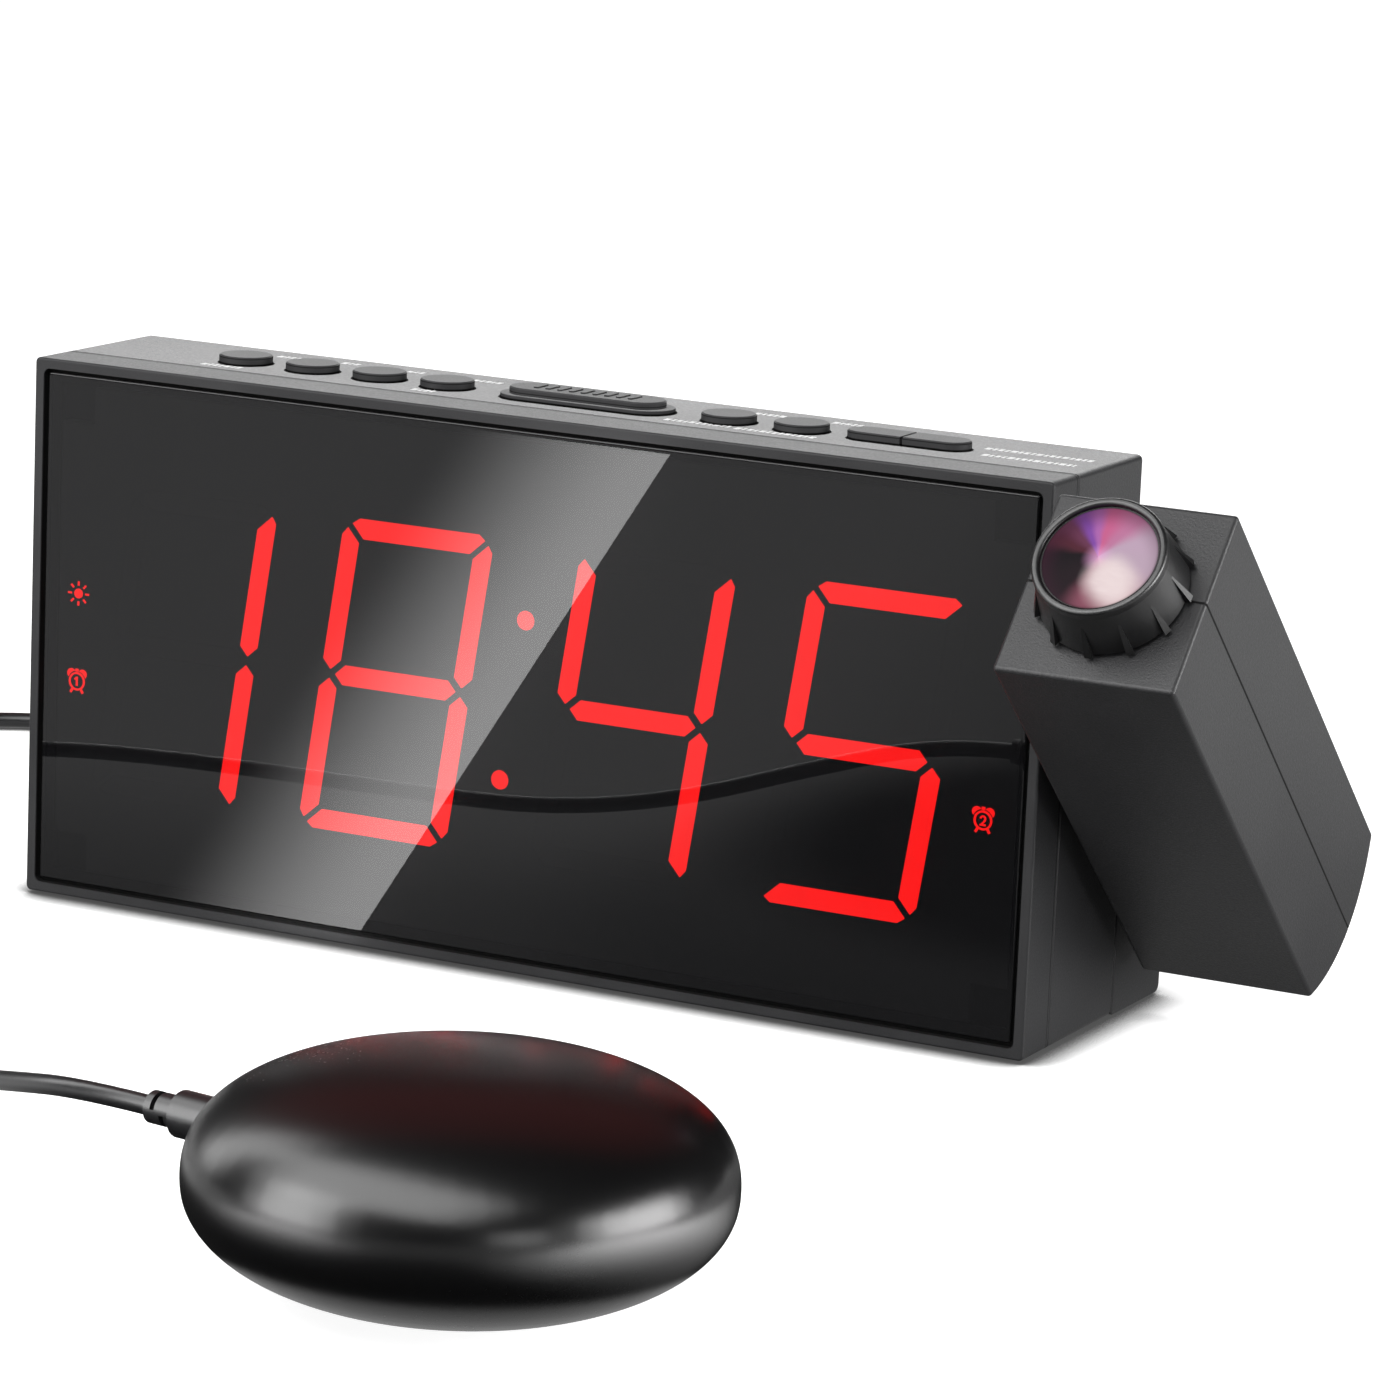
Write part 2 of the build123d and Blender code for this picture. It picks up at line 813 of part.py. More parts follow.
def port_cuts():
    cuts = [
        panel(
            usb_charge_width + 2 * fit_gap, usb_charge_height + 2 * fit_gap,
            base_inner_y, rear_y, 0.5, usb_charge_x, usb_z,
        ),
        panel(
            power_width + 2 * fit_gap, power_height + 2 * fit_gap,
            base_inner_y, rear_y, 1.5, power_x, power_z,
        ),
        rod_y(jack_nut_radius + fit_gap, base_inner_y, rear_y, jack_x, jack_z),
        panel(
            door_width + 2 * door_gap, door_height + 2 * door_gap,
            rear_y - door_thickness, rear_y, 1.0, battery_x, battery_z,
        ),
        panel(
            door_width - 2 * door_ledge, door_height - 2 * door_ledge,
            base_inner_y, rear_y, 1.0, battery_x, battery_z,
        ),
    ]
    return cuts


base_bosses = [(x, floor_z + height) for x in (-base_screw_x, base_screw_x) for height in base_screw_heights]
board_rests = [
    (x, base_inner_y - board_rest_inset)
    for x in (socket_board_left + board_rest_margin, socket_board_right - board_rest_margin)
]


def make_base():
    solid = base_prism(0)
    rear_edges = solid.edges().filter_by(Axis.X).group_by(Axis.Y)[-1]
    solid = fillet(rear_edges, base_edge_radius)
    front_edges = solid.edges().group_by(Axis.Y)[0]
    solid = chamfer(front_edges, seam_chamfer)
    shell = solid - base_prism(wall)
    for x, z in base_bosses:
        shell += rod_y(column_radius, slab_back_y, base_inner_y + wall / 2, x, z) & base_prism(wall / 2)
        shell -= rod_y(screw_radius + running_gap, slab_back_y, slab_back_y + 1.5 * screw_bite, x, z)
    for x, y in board_rests:
        shell += rod_z(post_radius, floor_z + wall, socket_board_z, x, y)
    for cut in port_cuts():
        shell -= cut
    return shell


def make_base_screws():
    length = wall + 1.5 * screw_bite - seat_gap
    return [screw_y(back_wall_y, length, x, z, 1) for x, z in base_bosses]


def make_socket_board():
    return block(
        socket_board_left, socket_board_right, base_inner_y - socket_board_depth, base_inner_y - seat_gap,
        socket_board_z, socket_face_z,
    )


def make_usb_socket():
    y0 = rear_y - socket_depth - wall
    shell = panel(usb_charge_width, usb_charge_height, y0, rear_y - seat_gap, 0.4, usb_charge_x, usb_z)
    inside = 2 * shell_sheet
    shell -= panel(
        usb_charge_width - inside, usb_charge_height - inside, y0 + 1.5, rear_y, 0, usb_charge_x, usb_z
    )
    tongue_z = usb_z + usb_charge_height * 0.14
    return shell + panel(
        usb_charge_width * 0.84, usb_charge_height * 0.3, y0 + 1.0, rear_y - 1.2, 0, usb_charge_x, tongue_z
    )


def make_power_socket():
    y0 = rear_y - socket_depth
    radius = power_height * 0.45
    shell = panel(power_width, power_height, y0, rear_y - seat_gap, radius, power_x, power_z)
    inside = 2 * shell_sheet
    shell -= panel(
        power_width - inside, power_height - inside, y0 + 1.5, rear_y, radius - shell_sheet, power_x, power_z
    )
    return shell + panel(power_width * 0.72, 0.8, y0 + 1.0, rear_y - 1.4, 0, power_x, power_z)


def make_jack_socket():
    y0 = rear_y - jack_pin_length - wall
    body = rod_y(jack_body_radius, y0, base_inner_y - seat_gap, jack_x, jack_z)
    body += rod_y(jack_nut_radius, base_inner_y - 2 * seat_gap, rear_y + jack_nut_length, jack_x, jack_z)
    return body - rod_y(jack_bore_radius, y0 + 1.5, rear_y + jack_nut_length, jack_x, jack_z)


def make_battery_door():
    inner_y = rear_y - door_thickness + seat_gap / 2
    door = panel(door_width, door_height, inner_y, rear_y, 0.8, battery_x, battery_z)
    skirt_width = door_width - 2 * (door_ledge + door_gap)
    skirt_height = door_height - 2 * (door_ledge + door_gap)
    skirt_y = inner_y - door_skirt
    skirt = panel(skirt_width, skirt_height, skirt_y, inner_y, 0.8, battery_x, battery_z)
    skirt -= panel(skirt_width - 2.4, skirt_height - 2.4, skirt_y, inner_y, 0, battery_x, battery_z)
    door += skirt
    for step in (-1, 0, 1):
        z = battery_z - door_height / 2 + door_grip_rise + step * door_grip_pitch
        door -= panel(
            door_grip_length, door_grip_width, rear_y - door_grip_depth, rear_y, 0, battery_x, z
        )
    return door


holder_y1 = base_inner_y - seat_gap
holder_y0 = holder_y1 - cell_thickness - holder_floor


def make_battery_holder():
    width = 2 * cell_radius + holder_side_walls
    height = 2 * cell_radius + holder_end_walls
    holder = panel(width, height, holder_y0, holder_y1, 1.0, battery_x, battery_z)
    cell_y = holder_y1 - cell_thickness - 1.4
    return holder - rod_y(cell_radius + seat_gap, cell_y, holder_y1, battery_x, battery_z)


def make_coin_cell():
    y1 = holder_y1 - 1.2
    rim = rod_y(cell_radius, y1 - cell_thickness, y1 - 0.5, battery_x, battery_z)
    return rim + rod_y(cell_radius - 1.2, y1 - cell_thickness, y1, battery_x, battery_z)


# Projector, built upright about its pivot and then tilted ---------------------

def placed(shape):
    # from the projector's own frame, upright with X from its inner face, to its place on the clock
    return Pos(projector_x0, pivot_y, pivot_z) * Rot(projector_tilt, 0, 0) * shape


def projector_outline(inset):
    half = projector_thickness / 2 - inset
    radius = tail_radius - inset
    points = {}
    for way in (-1, 1):
        across = way * half - tail_centre_back
        points[way] = (way * half, -tail_centre_drop - math.sqrt(radius**2 - across**2))
    bottom = (tail_centre_back, -tail_centre_drop - radius)
    top = lens_end - inset
    walls = Polyline(points[-1], (-half, top), (half, top), points[1])
    return make_face([*walls.edges(), ThreePointArc(points[1], bottom, points[-1])])


def projector_prism(inset):
    face = Plane.YZ * projector_outline(inset)
    return Pos(inset, 0, 0) * extrude(face, amount=projector_width - 2 * inset)


screw_spots = [(projector_mid + way * projector_screw_x, -projector_screw_drop) for way in (-1, 1)]


def make_projector_half(way):
    # way -1 is the front half and 1 the rear half
    body = projector_prism(0)
    body = fillet(body.edges(), projector_edge_radius)
    body -= projector_prism(projector_wall)
    body -= rod_z(guide_radius + fit_gap, lens_end - projector_wall, lens_end, projector_mid, 0)
    body -= rod_x(hub_radius + running_gap, 0, projector_wall, 0, 0)
    reach = projector_thickness
    y0, y1 = (-reach, 0) if way < 0 else (0, reach)
    half = body & block(-1, projector_width + 1, y0, y1, -2 * tail_radius, lens_end + 1)
    half = chamfer(
        half.edges().filter_by_position(Axis.Y, -0.001, 0.001).filter_by(
            lambda edge: seam_edge(edge)
        ),
        seam_chamfer / 1.5,
    )
    inner = projector_thickness / 2 - projector_wall
    for x, z in screw_spots:
        half += rod_y(column_radius, *sorted((way * seat_gap / 2, way * inner)), x, z)
    for x, z in screw_spots:
        if way < 0:
            half -= rod_y(screw_radius + running_gap, -2 * screw_bite, 0, x, z)
        else:
            half -= rod_y(screw_radius + screw_hole_gap, 0, reach, x, z)
            half -= rod_y(screw_head_radius + screw_hole_gap, screw_bite, reach, x, z)
    return half


def seam_edge(edge):
    # the outer edges of the split between the projector's halves, along its sides and tail
    place = edge.center()
    outer_side = min(abs(place.X), abs(place.X - projector_width)) < 0.01
    on_end = abs(place.Z - lens_end) < 0.01
    return (outer_side or on_end) and edge.length > 2 * hub_radius


def make_projector_screws():
    return [screw_y(screw_bite, 2.6 * screw_bite, x, z, -1) for x, z in screw_spots]


clip_x1 = -projector_gap - wall - bush_length - seat_gap
clip_x0 = clip_x1 - clip_thickness


def make_hub():
    inner_x = projector_wall + hub_flange_thickness
    tail_x = clip_x0 - hub_tail
    hub = rod_x(hub_radius, tail_x, inner_x, 0, 0)
    hub += rod_x(hub_disc_radius, disc_gap - projector_gap, 0, 0, 0)
    hub += rod_x(hub_flange_radius, projector_wall, inner_x, 0, 0)
    groove = rod_x(hub_radius, clip_x0 - running_gap, clip_x1 + running_gap, 0, 0)
    hub -= groove - rod_x(hub_radius - clip_groove, clip_x0 - 1, clip_x1 + 1, 0, 0)
    return hub - rod_x(hub_bore, tail_x, inner_x, 0, 0)


def make_clip():
    # a snap ring in the hub's groove, open on one side
    ring = rod_x(clip_radius, clip_x0, clip_x1, 0, 0)
    ring -= rod_x(hub_radius - clip_groove + running_gap / 2, clip_x0, clip_x1, 0, 0)
    return ring - block(clip_x0, clip_x1, -clip_mouth, clip_mouth, 0, 2 * clip_radius)


def lens(radius, edge, bulge, foot):
    # a lens that is flat below and domed above, on the optical axis
    curve = (radius**2 + bulge**2) / (2 * bulge)
    half_turn = math.asin(radius / curve) / 2
    top = foot + edge + bulge
    middle = (curve * math.sin(half_turn), top - curve + curve * math.cos(half_turn))
    profile = make_face([
        Line((0, top), (0, foot)),
        Line((0, foot), (radius, foot)),
        Line((radius, foot), (radius, foot + edge)),
        ThreePointArc((radius, foot + edge), middle, (0, top)),
    ])
    return Pos(projector_mid, 0, 0) * revolve(Plane.XZ * profile, Axis.Z)


def make_guide():
    # the tube the lens barrel slides in, with the seat for the picture film at its foot
    foot = guide_foot - film_seat_depth
    body = rod_z(guide_radius, foot, lens_end, projector_mid, 0)
    top = lens_end - projector_wall - seat_gap / 2
    body += rod_z(guide_collar_radius, top - guide_collar_thickness, top, projector_mid, 0)
    body -= rod_z(barrel_radius + running_gap, guide_foot, lens_end, projector_mid, 0)
    half_w, half_h = film_width / 2, film_height / 2
    pocket_z = guide_foot - film_thickness - seat_gap
    body -= block(
        projector_mid - half_w - fit_gap, projector_mid + half_w + fit_gap,
        -half_h - fit_gap, half_h + fit_gap, pocket_z, guide_foot,
    )
    return body - block(
        projector_mid - half_w + film_ledge, projector_mid + half_w - film_ledge,
        film_ledge - half_h, half_h - film_ledge, foot, pocket_z,
    )


def make_film():
    z0 = guide_foot - film_thickness - seat_gap
    half_w, half_h = film_width / 2, film_height / 2
    return block(projector_mid - half_w, projector_mid + half_w, -half_h, half_h, z0, z0 + film_thickness)


front_lens_foot = ring_top - lens_recess - lens_edge


def make_barrel():
    top = ring_top - lens_recess
    tube = rod_z(barrel_radius, barrel_foot, top, projector_mid, 0)
    tube -= rod_z(barrel_bore, front_lens_foot, top, projector_mid, 0)
    return tube - rod_z(barrel_bore - lens_seat, barrel_foot, front_lens_foot, projector_mid, 0)


def make_focus_ring():
    # a flared ring with a rounded rim, a lip over the barrel's end, and ribs that taper upwards
    bore = barrel_radius + running_gap
    lip_foot = ring_top - lens_recess + running_gap
    profile = Plane.XZ * make_face(Polyline(
        (bore, ring_foot),
        (ring_base_radius - ring_base_step, ring_foot),
        (ring_base_radius, ring_foot + ring_base_step),
        (ring_rim_radius, ring_top - ring_rim_height),
        (ring_rim_radius, ring_top),
        (ring_lip_radius, ring_top),
        (ring_lip_radius, lip_foot),
        (bore, lip_foot),
        close=True,
    ))
    profile = fillet(profile.vertices().group_by(Axis.Z)[-1], ring_rim_round)
    ring = revolve(profile, Axis.Z)
    low = ring_foot + ring_base_step
    high = ring_foot + ring_rib_height
    side = extrude(Plane.XZ * make_face(Polyline(
        (bore + ring_base_step, low),
        (ring_rib_radius, low),
        (ring_rim_radius, high),
        (bore + ring_base_step, high),
        close=True,
    )), amount=ring_rib_width, both=True)
    front = Plane.YZ * make_face(Polyline(
        (-ring_rib_width / 2, low),
        (ring_rib_width / 2, low),
        (ring_rib_tip / 2, high),
        (-ring_rib_tip / 2, high),
        close=True,
    ))
    rib = side & extrude(front, amount=2 * ring_rib_radius)
    for index in range(ring_rib_count):
        ring += Rot(0, 0, 360 / ring_rib_count * index) * rib
    return Pos(projector_mid, 0, 0) * ring


lamp_tube_top = guide_foot - film_seat_depth
condenser_foot = lamp_tube_top - condenser_thickness - 1.0


def make_lamp_tube():
    tube = rod_z(lamp_tube_radius, lamp_tube_foot, lamp_tube_top, projector_mid, 0)
    bore = lamp_tube_radius - lamp_tube_wall
    tube -= rod_z(bore, condenser_foot, lamp_tube_top, projector_mid, 0)
    return tube - rod_z(bore - lens_seat, lamp_tube_foot, condenser_foot, projector_mid, 0)


def make_condenser():
    return lens(condenser_radius, 1.2, condenser_thickness - 1.2, condenser_foot)


def make_lamp_board():
    # a small board with its bright lamp soldered on
    half_x = projector_mid - projector_wall - seat_gap
    half_y = lamp_board_depth / 2
    board = block(
        projector_mid - half_x, projector_mid + half_x, -half_y, half_y,
        lamp_tube_foot - board_thickness, lamp_tube_foot,
    )
    board += block(
        projector_mid - lamp_radius, projector_mid + lamp_radius, -lamp_radius, lamp_radius,
        lamp_tube_foot, lamp_tube_foot + lamp_height / 2,
    )
    dome = rod_z(0.8 * lamp_radius, lamp_tube_foot, lamp_tube_foot + lamp_height, projector_mid, 0)
    return board + dome


# Bed shaker, built about its own middle on the floor ---------------------------

def on_floor(shape):
    return Pos(shaker_x, shaker_y, 0) * shape


def puck_radius(z, inset):
    # the puck's radius at a height, from two superellipses that meet at its waist
    radius = shaker_radius - inset
    if z >= shaker_waist:
        share = (z - shaker_waist) / (shaker_height - shaker_waist - inset)
        power = shaker_upper_power
    else:
        share = (shaker_waist - z) / (shaker_waist - inset)
        power = shaker_lower_power
    return radius * max(0.0, 1 - share**power) ** (1 / power)


def puck(inset, z0, z1):
    # the solid puck between two heights, inset from its outer skin
    top = shaker_height - inset
    low = max(z0, inset + 0.02)
    high = min(z1, top)
    closed = high == top
    steps = 16
    points = []
    for index in range(steps + 1):
        share = math.sin(index / steps * math.pi / 2) if closed else index / steps
        z = low + (high - low) * share
        points.append((puck_radius(z, inset) if z < top else 0.0, z))
    edge = Spline(*points)
    start, end = points[0], points[-1]
    lines = [Line((0, low), start), edge]
    if end[0] > 0:
        lines.append(Line(end, (0, high)))
    lines.append(Line((0, high), (0, low)))
    return revolve(Plane.XZ * make_face(lines), Axis.Z)


shaker_screw_spots = [
    (
        shaker_screw_circle * math.cos(math.radians(shaker_screw_turn + 360 / shaker_screw_count * index)),
        shaker_screw_circle * math.sin(math.radians(shaker_screw_turn + 360 / shaker_screw_count * index)),
    )
    for index in range(shaker_screw_count)
]
boss_top_z = shaker_split + shaker_boss_height


def make_shaker_top():
    shell = puck(0, shaker_split, shaker_height) - puck(shaker_wall, shaker_split - 1, shaker_height)
    for x, y in shaker_screw_spots:
        column = rod_z(column_radius, shaker_split + seat_gap, shaker_height, x, y)
        column &= puck(shaker_wall / 2, shaker_split, shaker_height)
        shell += column - rod_z(screw_radius + running_gap, shaker_split, boss_top_z, x, y)
    hole = along_relief(relief_collar_radius + fit_gap, shaker_radius * 0.7, shaker_radius + 2)
    return shell - hole


def make_shaker_bottom():
    shell = puck(0, shaker_foot, shaker_split) - puck(shaker_wall, shaker_foot, shaker_split)
    shell -= rod_z(shaker_pad_radius + fit_gap, 0, shaker_foot + shaker_pad_sink, 0, 0)
    for x, y in shaker_screw_spots:
        column = rod_z(column_radius, shaker_foot, shaker_split, x, y)
        shell += column & puck(shaker_wall / 2, shaker_foot, shaker_split)
        shell -= rod_z(screw_radius + screw_hole_gap, 0, shaker_split, x, y)
        shell -= rod_z(screw_head_radius + screw_hole_gap, 0, shaker_split - 1.5, x, y)
    return shell


def relief_direction():
    turn = math.radians(180 - relief_angle)
    return (math.cos(turn), math.sin(turn))


def along_relief(radius, start, end):
    # a rod along the lead's way out of the puck, between two distances from the puck's middle
    rod = rod_x(radius, start, end, 0, relief_height)
    return Rot(0, 0, 180 - relief_angle) * rod


def make_relief():
    collar_end = relief_tip - relief_sleeve
    inner_end = shaker_radius - 2 * shaker_wall
    body = along_relief(relief_collar_radius, inner_end, collar_end)
    body += along_relief(relief_flange_radius, inner_end - relief_flange, inner_end)
    sleeve = along_relief(relief_sleeve_radius, collar_end, relief_tip)
    for index, share in enumerate((0.3, 0.62)):
        place = collar_end + relief_sleeve * share
        way = 1 if index % 2 else -1
        notch = block(
            place, place + relief_slot, -relief_sleeve_radius, relief_sleeve_radius,
            relief_height + (0.3 if way > 0 else -relief_sleeve_radius),
            relief_height + (relief_sleeve_radius if way > 0 else -0.3),
        )
        core = rod_x(cord_radius, place, place + relief_slot, 0, relief_height)
        sleeve -= Rot(0, 0, 180 - relief_angle) * (notch - core)
    return body + sleeve


motor_front = motor_back + motor_length


def make_motor():
    body = rod_x(motor_radius, motor_back, motor_front, 0, shaker_waist)
    body += rod_x(motor_radius / 3, motor_front, motor_front + weight_gap / 2, 0, shaker_waist)
    shaft_hole = shaft_radius + running_gap
    return body - rod_x(shaft_hole, motor_front - shaft_reach, motor_front + weight_gap, 0, shaker_waist)


def make_weight():
    # a half disc on the motor's shaft
    x0 = motor_front + weight_gap
    x1 = x0 + weight_length
    disc = rod_x(weight_radius, x0, x1, 0, shaker_waist)
    lower = block(x0, x1, -weight_radius, weight_radius, 0, shaker_waist)
    weight = (disc & lower) + rod_x(2 * shaft_radius, x0, x1, 0, shaker_waist)
    return weight + rod_x(shaft_radius, motor_front - shaft_reach + seat_gap, x1 + 1, 0, shaker_waist)


def make_bracket():
    floor = shaker_wall + seat_gap
    width = motor_radius * 2 + 2 * bracket_thickness
    x0 = motor_back + 4.0
    cradle = block(x0, x0 + bracket_width, -width / 2, width / 2, floor, shaker_waist - motor_radius * 0.25)
    cradle &= puck(shaker_wall + seat_gap, floor, shaker_waist)
    return cradle - rod_x(motor_radius + running_gap, x0, x0 + bracket_width, 0, shaker_waist)


def make_shaker_screws():
    head_z = shaker_split - 1.5
    return [screw_z(head_z, boss_top_z - head_z - 2 * screw_bite / 4, x, y) for x, y in shaker_screw_spots]


def make_shaker_pad():
    return rod_z(shaker_pad_radius, 0, shaker_foot + shaker_pad_sink, 0, 0)


# Lead -------------------------------------------------------------------------

coil_outer_turn = coil_inner_radius + (coil_turns - 1) * coil_pitch
lead_x = coil_x - coil_outer_turn
low_z = cord_radius + 0.1
high_z = low_z + coil_pitch
plug_y = rear_y + jack_nut_length
boot_y = plug_y + plug_length
lead_y = boot_y + boot_length
relief_way = relief_direction()
relief_end = (
    shaker_x + relief_tip * relief_way[0],
    shaker_y + relief_tip * relief_way[1],
    relief_height,
)

relief_lead = (
    relief_end[0] + relief_run * relief_way[0],
    relief_end[1] + relief_run * relief_way[1],
    relief_height,
)

rear_route = [
    (jack_x, lead_y, jack_z),
    (jack_x, lead_y + boot_run, jack_z),
    (-52.0, 82.0, 12.2),
    (-74.0, 95.0, 4.6),
    (-98.0, 101.0, low_z),
    (-125.0, 99.0, low_z),
    (-151.0, 92.0, low_z),
    (-174.0, 83.4, low_z),
    (-189.0, 66.0, low_z),
    (-192.0, 43.0, low_z),
    (lead_x, 20.0, low_z),
    (lead_x, coil_y + coil_stub, low_z),
]

front_route = [
    (lead_x, coil_y - coil_stub, high_z),
    (lead_x, -37.0, high_z),
    (-182.0, -60.0, low_z + 1.2),
    (-179.0, -84.0, low_z),
    (-170.0, -107.0, low_z),
    (-151.0, -122.0, low_z),
    (-127.0, -128.0, low_z),
    (-101.0, -130.0, low_z),
    (-75.0, -131.2, low_z),
    (-50.0, -134.5, low_z + 0.2),
    (-28.0, -145.5, 4.6),
    (-8.0, -160.5, 10.8),
    relief_lead,
    relief_end,
]


def lead_tube(points, name):
    # straight runs joined by arcs as large as the two runs beside each point allow
    vectors = [Vector(*point) for point in points]
    runs = [vectors[i + 1] - vectors[i] for i in range(len(vectors) - 1)]
    radii = []
    for before, after in zip(runs, runs[1:]):
        turn = math.radians(before.get_angle(after))
        radii.append(0.45 * min(before.length, after.length) / math.tan(turn / 2))
    path = FilletPolyline(*points, radius=radii)
    start = Plane(origin=points[0], z_dir=runs[0].normalized())
    tube = sweep(start * Circle(cord_radius), path=path)
    length = sum(edge.length for edge in path.edges())
    share = tube.volume / (math.pi * cord_radius**2 * length)
    print(name, "length", round(length, 1), "volume ratio", round(share, 4))
    print("  radii", [round(radius, 1) for radius in radii])
    return tube


def make_coil():
    # eight turns in two layers, with the short stubs where the lead enters and leaves
    inner = coil_inner_radius - cord_radius
    outer = coil_outer_turn + cord_radius + coil_skin
    low = low_z - cord_radius - coil_skin
    high = high_z + cord_radius + coil_skin
    ring = rod_z(outer, low, high, coil_x, coil_y) - rod_z(inner, low, high, coil_x, coil_y)
    ring += rod_y(cord_radius, coil_y, coil_y + coil_stub, lead_x, low_z)
    return ring + rod_y(cord_radius, coil_y - coil_stub, coil_y, lead_x, high_z)


def make_plug():
    # the moulded plug with its tapering boot and metal pin
    body = rod_y(plug_radius, plug_y + seat_gap, boot_y, jack_x, jack_z)
    body = fillet(body.edges().group_by(Axis.Y)[-1], 0.8)
    body += rod_y(jack_pin_radius, rear_y - jack_pin_length + seat_gap, boot_y - 1, jack_x, jack_z)
    boot = Cone(plug_radius * 0.75, boot_tip_radius, boot_length)
    return body + Pos(jack_x, (boot_y + lead_y) / 2, jack_z) * Rot(-90, 0, 0) * boot


# Write every piece --------------------------------------------------------------

save("front_bezel", make_bezel())
save("display_window", make_window())
save("led_reflector", make_reflector())
save("lit_segments", *lit)
save("unlit_segments", *unlit)
save("indicator_icons", *icons)
save("display_board", make_display_board())
save("display_lamps", *make_display_chips())
save("main_housing", make_housing())
save("case_screws", *make_case_screws())
for button_name, button_x in round_button_x.items():
    save(button_name, make_round_button(button_x))
save("snooze_bar", make_snooze())
save("projection_button", make_rocker_half(-1))
save("flip_button", make_rocker_half(1))
save("push_switches", *make_switches())
save("button_board", make_button_board())
save("main_board", make_main_board())
save("board_parts", *make_board_parts())
save("board_screws", *make_board_screws())
save("speaker", make_speaker())
save("rear_base", make_base())
save("base_screws", *make_base_screws())
save("socket_board", make_socket_board())
save("usb_charge_socket", make_usb_socket())
save("power_socket", make_power_socket())
save("shaker_socket", make_jack_socket())
save("battery_door", make_battery_door())
save("battery_holder", make_battery_holder())
save("coin_cell", make_coin_cell())
save("resting_pad", block(-pad_width / 2, pad_width / 2, -pad_depth / 2, pad_depth / 2, 0, pad_thickness))

save("projector_hub", placed(make_hub()))
save("hub_clip", placed(make_clip()))
save("projector_front_shell", placed(make_projector_half(-1)))
save("projector_rear_shell", placed(make_projector_half(1)))
save("projector_screws", *[placed(screw) for screw in make_projector_screws()])
save("lens_guide", placed(make_guide()))
save("image_film", placed(make_film()))
save("lamp_tube", placed(make_lamp_tube()))
save("condenser_lens", placed(make_condenser()))
save("lamp_board", placed(make_lamp_board()))
save("lens_barrel", placed(make_barrel()))
save("projection_lens", placed(lens(barrel_bore - 0.02, lens_edge, lens_bulge, front_lens_foot)))
save("focus_ring", placed(make_focus_ring()))

save("shaker_top", on_floor(make_shaker_top()))
save("shaker_bottom", on_floor(make_shaker_bottom()))
save("shaker_pad", on_floor(make_shaker_pad()))
save("shaker_motor", on_floor(make_motor()))
save("motor_bracket", on_floor(make_bracket()))
save("eccentric_weight", on_floor(make_weight()))
save("shaker_screws", *[on_floor(screw) for screw in make_shaker_screws()])
save("strain_relief", on_floor(make_relief()))
save("lead_coil", make_coil())
save("lead_to_clock", lead_tube(rear_route, "lead to clock"))
save("lead_to_shaker", lead_tube(front_route, "lead to shaker"))
save("shaker_plug", make_plug())
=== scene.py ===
import math

import bmesh
import bpy
from mathutils import Matrix, Vector


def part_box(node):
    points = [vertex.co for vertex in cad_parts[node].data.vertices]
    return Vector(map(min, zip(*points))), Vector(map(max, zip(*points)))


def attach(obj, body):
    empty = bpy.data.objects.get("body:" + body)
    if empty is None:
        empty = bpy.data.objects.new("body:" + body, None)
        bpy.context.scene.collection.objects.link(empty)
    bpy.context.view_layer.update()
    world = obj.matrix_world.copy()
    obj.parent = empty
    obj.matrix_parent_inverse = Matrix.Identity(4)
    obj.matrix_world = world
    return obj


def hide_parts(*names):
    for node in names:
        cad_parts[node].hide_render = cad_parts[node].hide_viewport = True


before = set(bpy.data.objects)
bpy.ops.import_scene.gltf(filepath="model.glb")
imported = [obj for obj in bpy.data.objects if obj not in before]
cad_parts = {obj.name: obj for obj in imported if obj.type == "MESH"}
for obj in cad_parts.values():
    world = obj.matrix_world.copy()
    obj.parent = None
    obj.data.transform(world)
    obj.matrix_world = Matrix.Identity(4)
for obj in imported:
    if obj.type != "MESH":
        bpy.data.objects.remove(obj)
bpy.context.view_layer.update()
print("frame loaded:", len(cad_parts), "nodes")

mm = 1000.0  # millimetres in a metre: patterns are given in millimetres, shapes in metres


# Shader maths: a socket that takes part in plain expressions
class Wire:
    def __init__(self, nodes, socket):
        self.nodes = nodes
        self.socket = socket

    def math(self, operation, other=None):
        values = {0: self} if other is None else {0: self, 1: other}
        return self.nodes.node("ShaderNodeMath", {"operation": operation}, values)

    def __add__(self, other):
        return self.math("ADD", other)

    def __sub__(self, other):
        return self.math("SUBTRACT", other)

    def __rsub__(self, other):
        return self.nodes.node("ShaderNodeMath", {"operation": "SUBTRACT"}, {0: other, 1: self})

    def __mul__(self, other):
        return self.math("MULTIPLY", other)

    __radd__ = __add__
    __rmul__ = __mul__

    def size(self):
        return self.math("ABSOLUTE")

    def most(self, other):
        return self.math("MAXIMUM", other)

    def above(self, level, soft):
        # 0 below the level and 1 above it, with a soft step
        return self.nodes.node(
            "ShaderNodeMapRange",
            {"interpolation_type": "SMOOTHSTEP"},
            {"Value": self, "From Min": level - soft, "From Max": level + soft},
        )

    def below(self, level, soft):
        return 1.0 - self.above(level, soft)

    def within(self, half, soft):
        # 1 as far as half on either side of zero, and 0 beyond
        return self.size().below(half, soft)

    def swing(self, amount):
        # a noise about its middle, from minus to plus half the amount
        return (self - 0.5) * amount


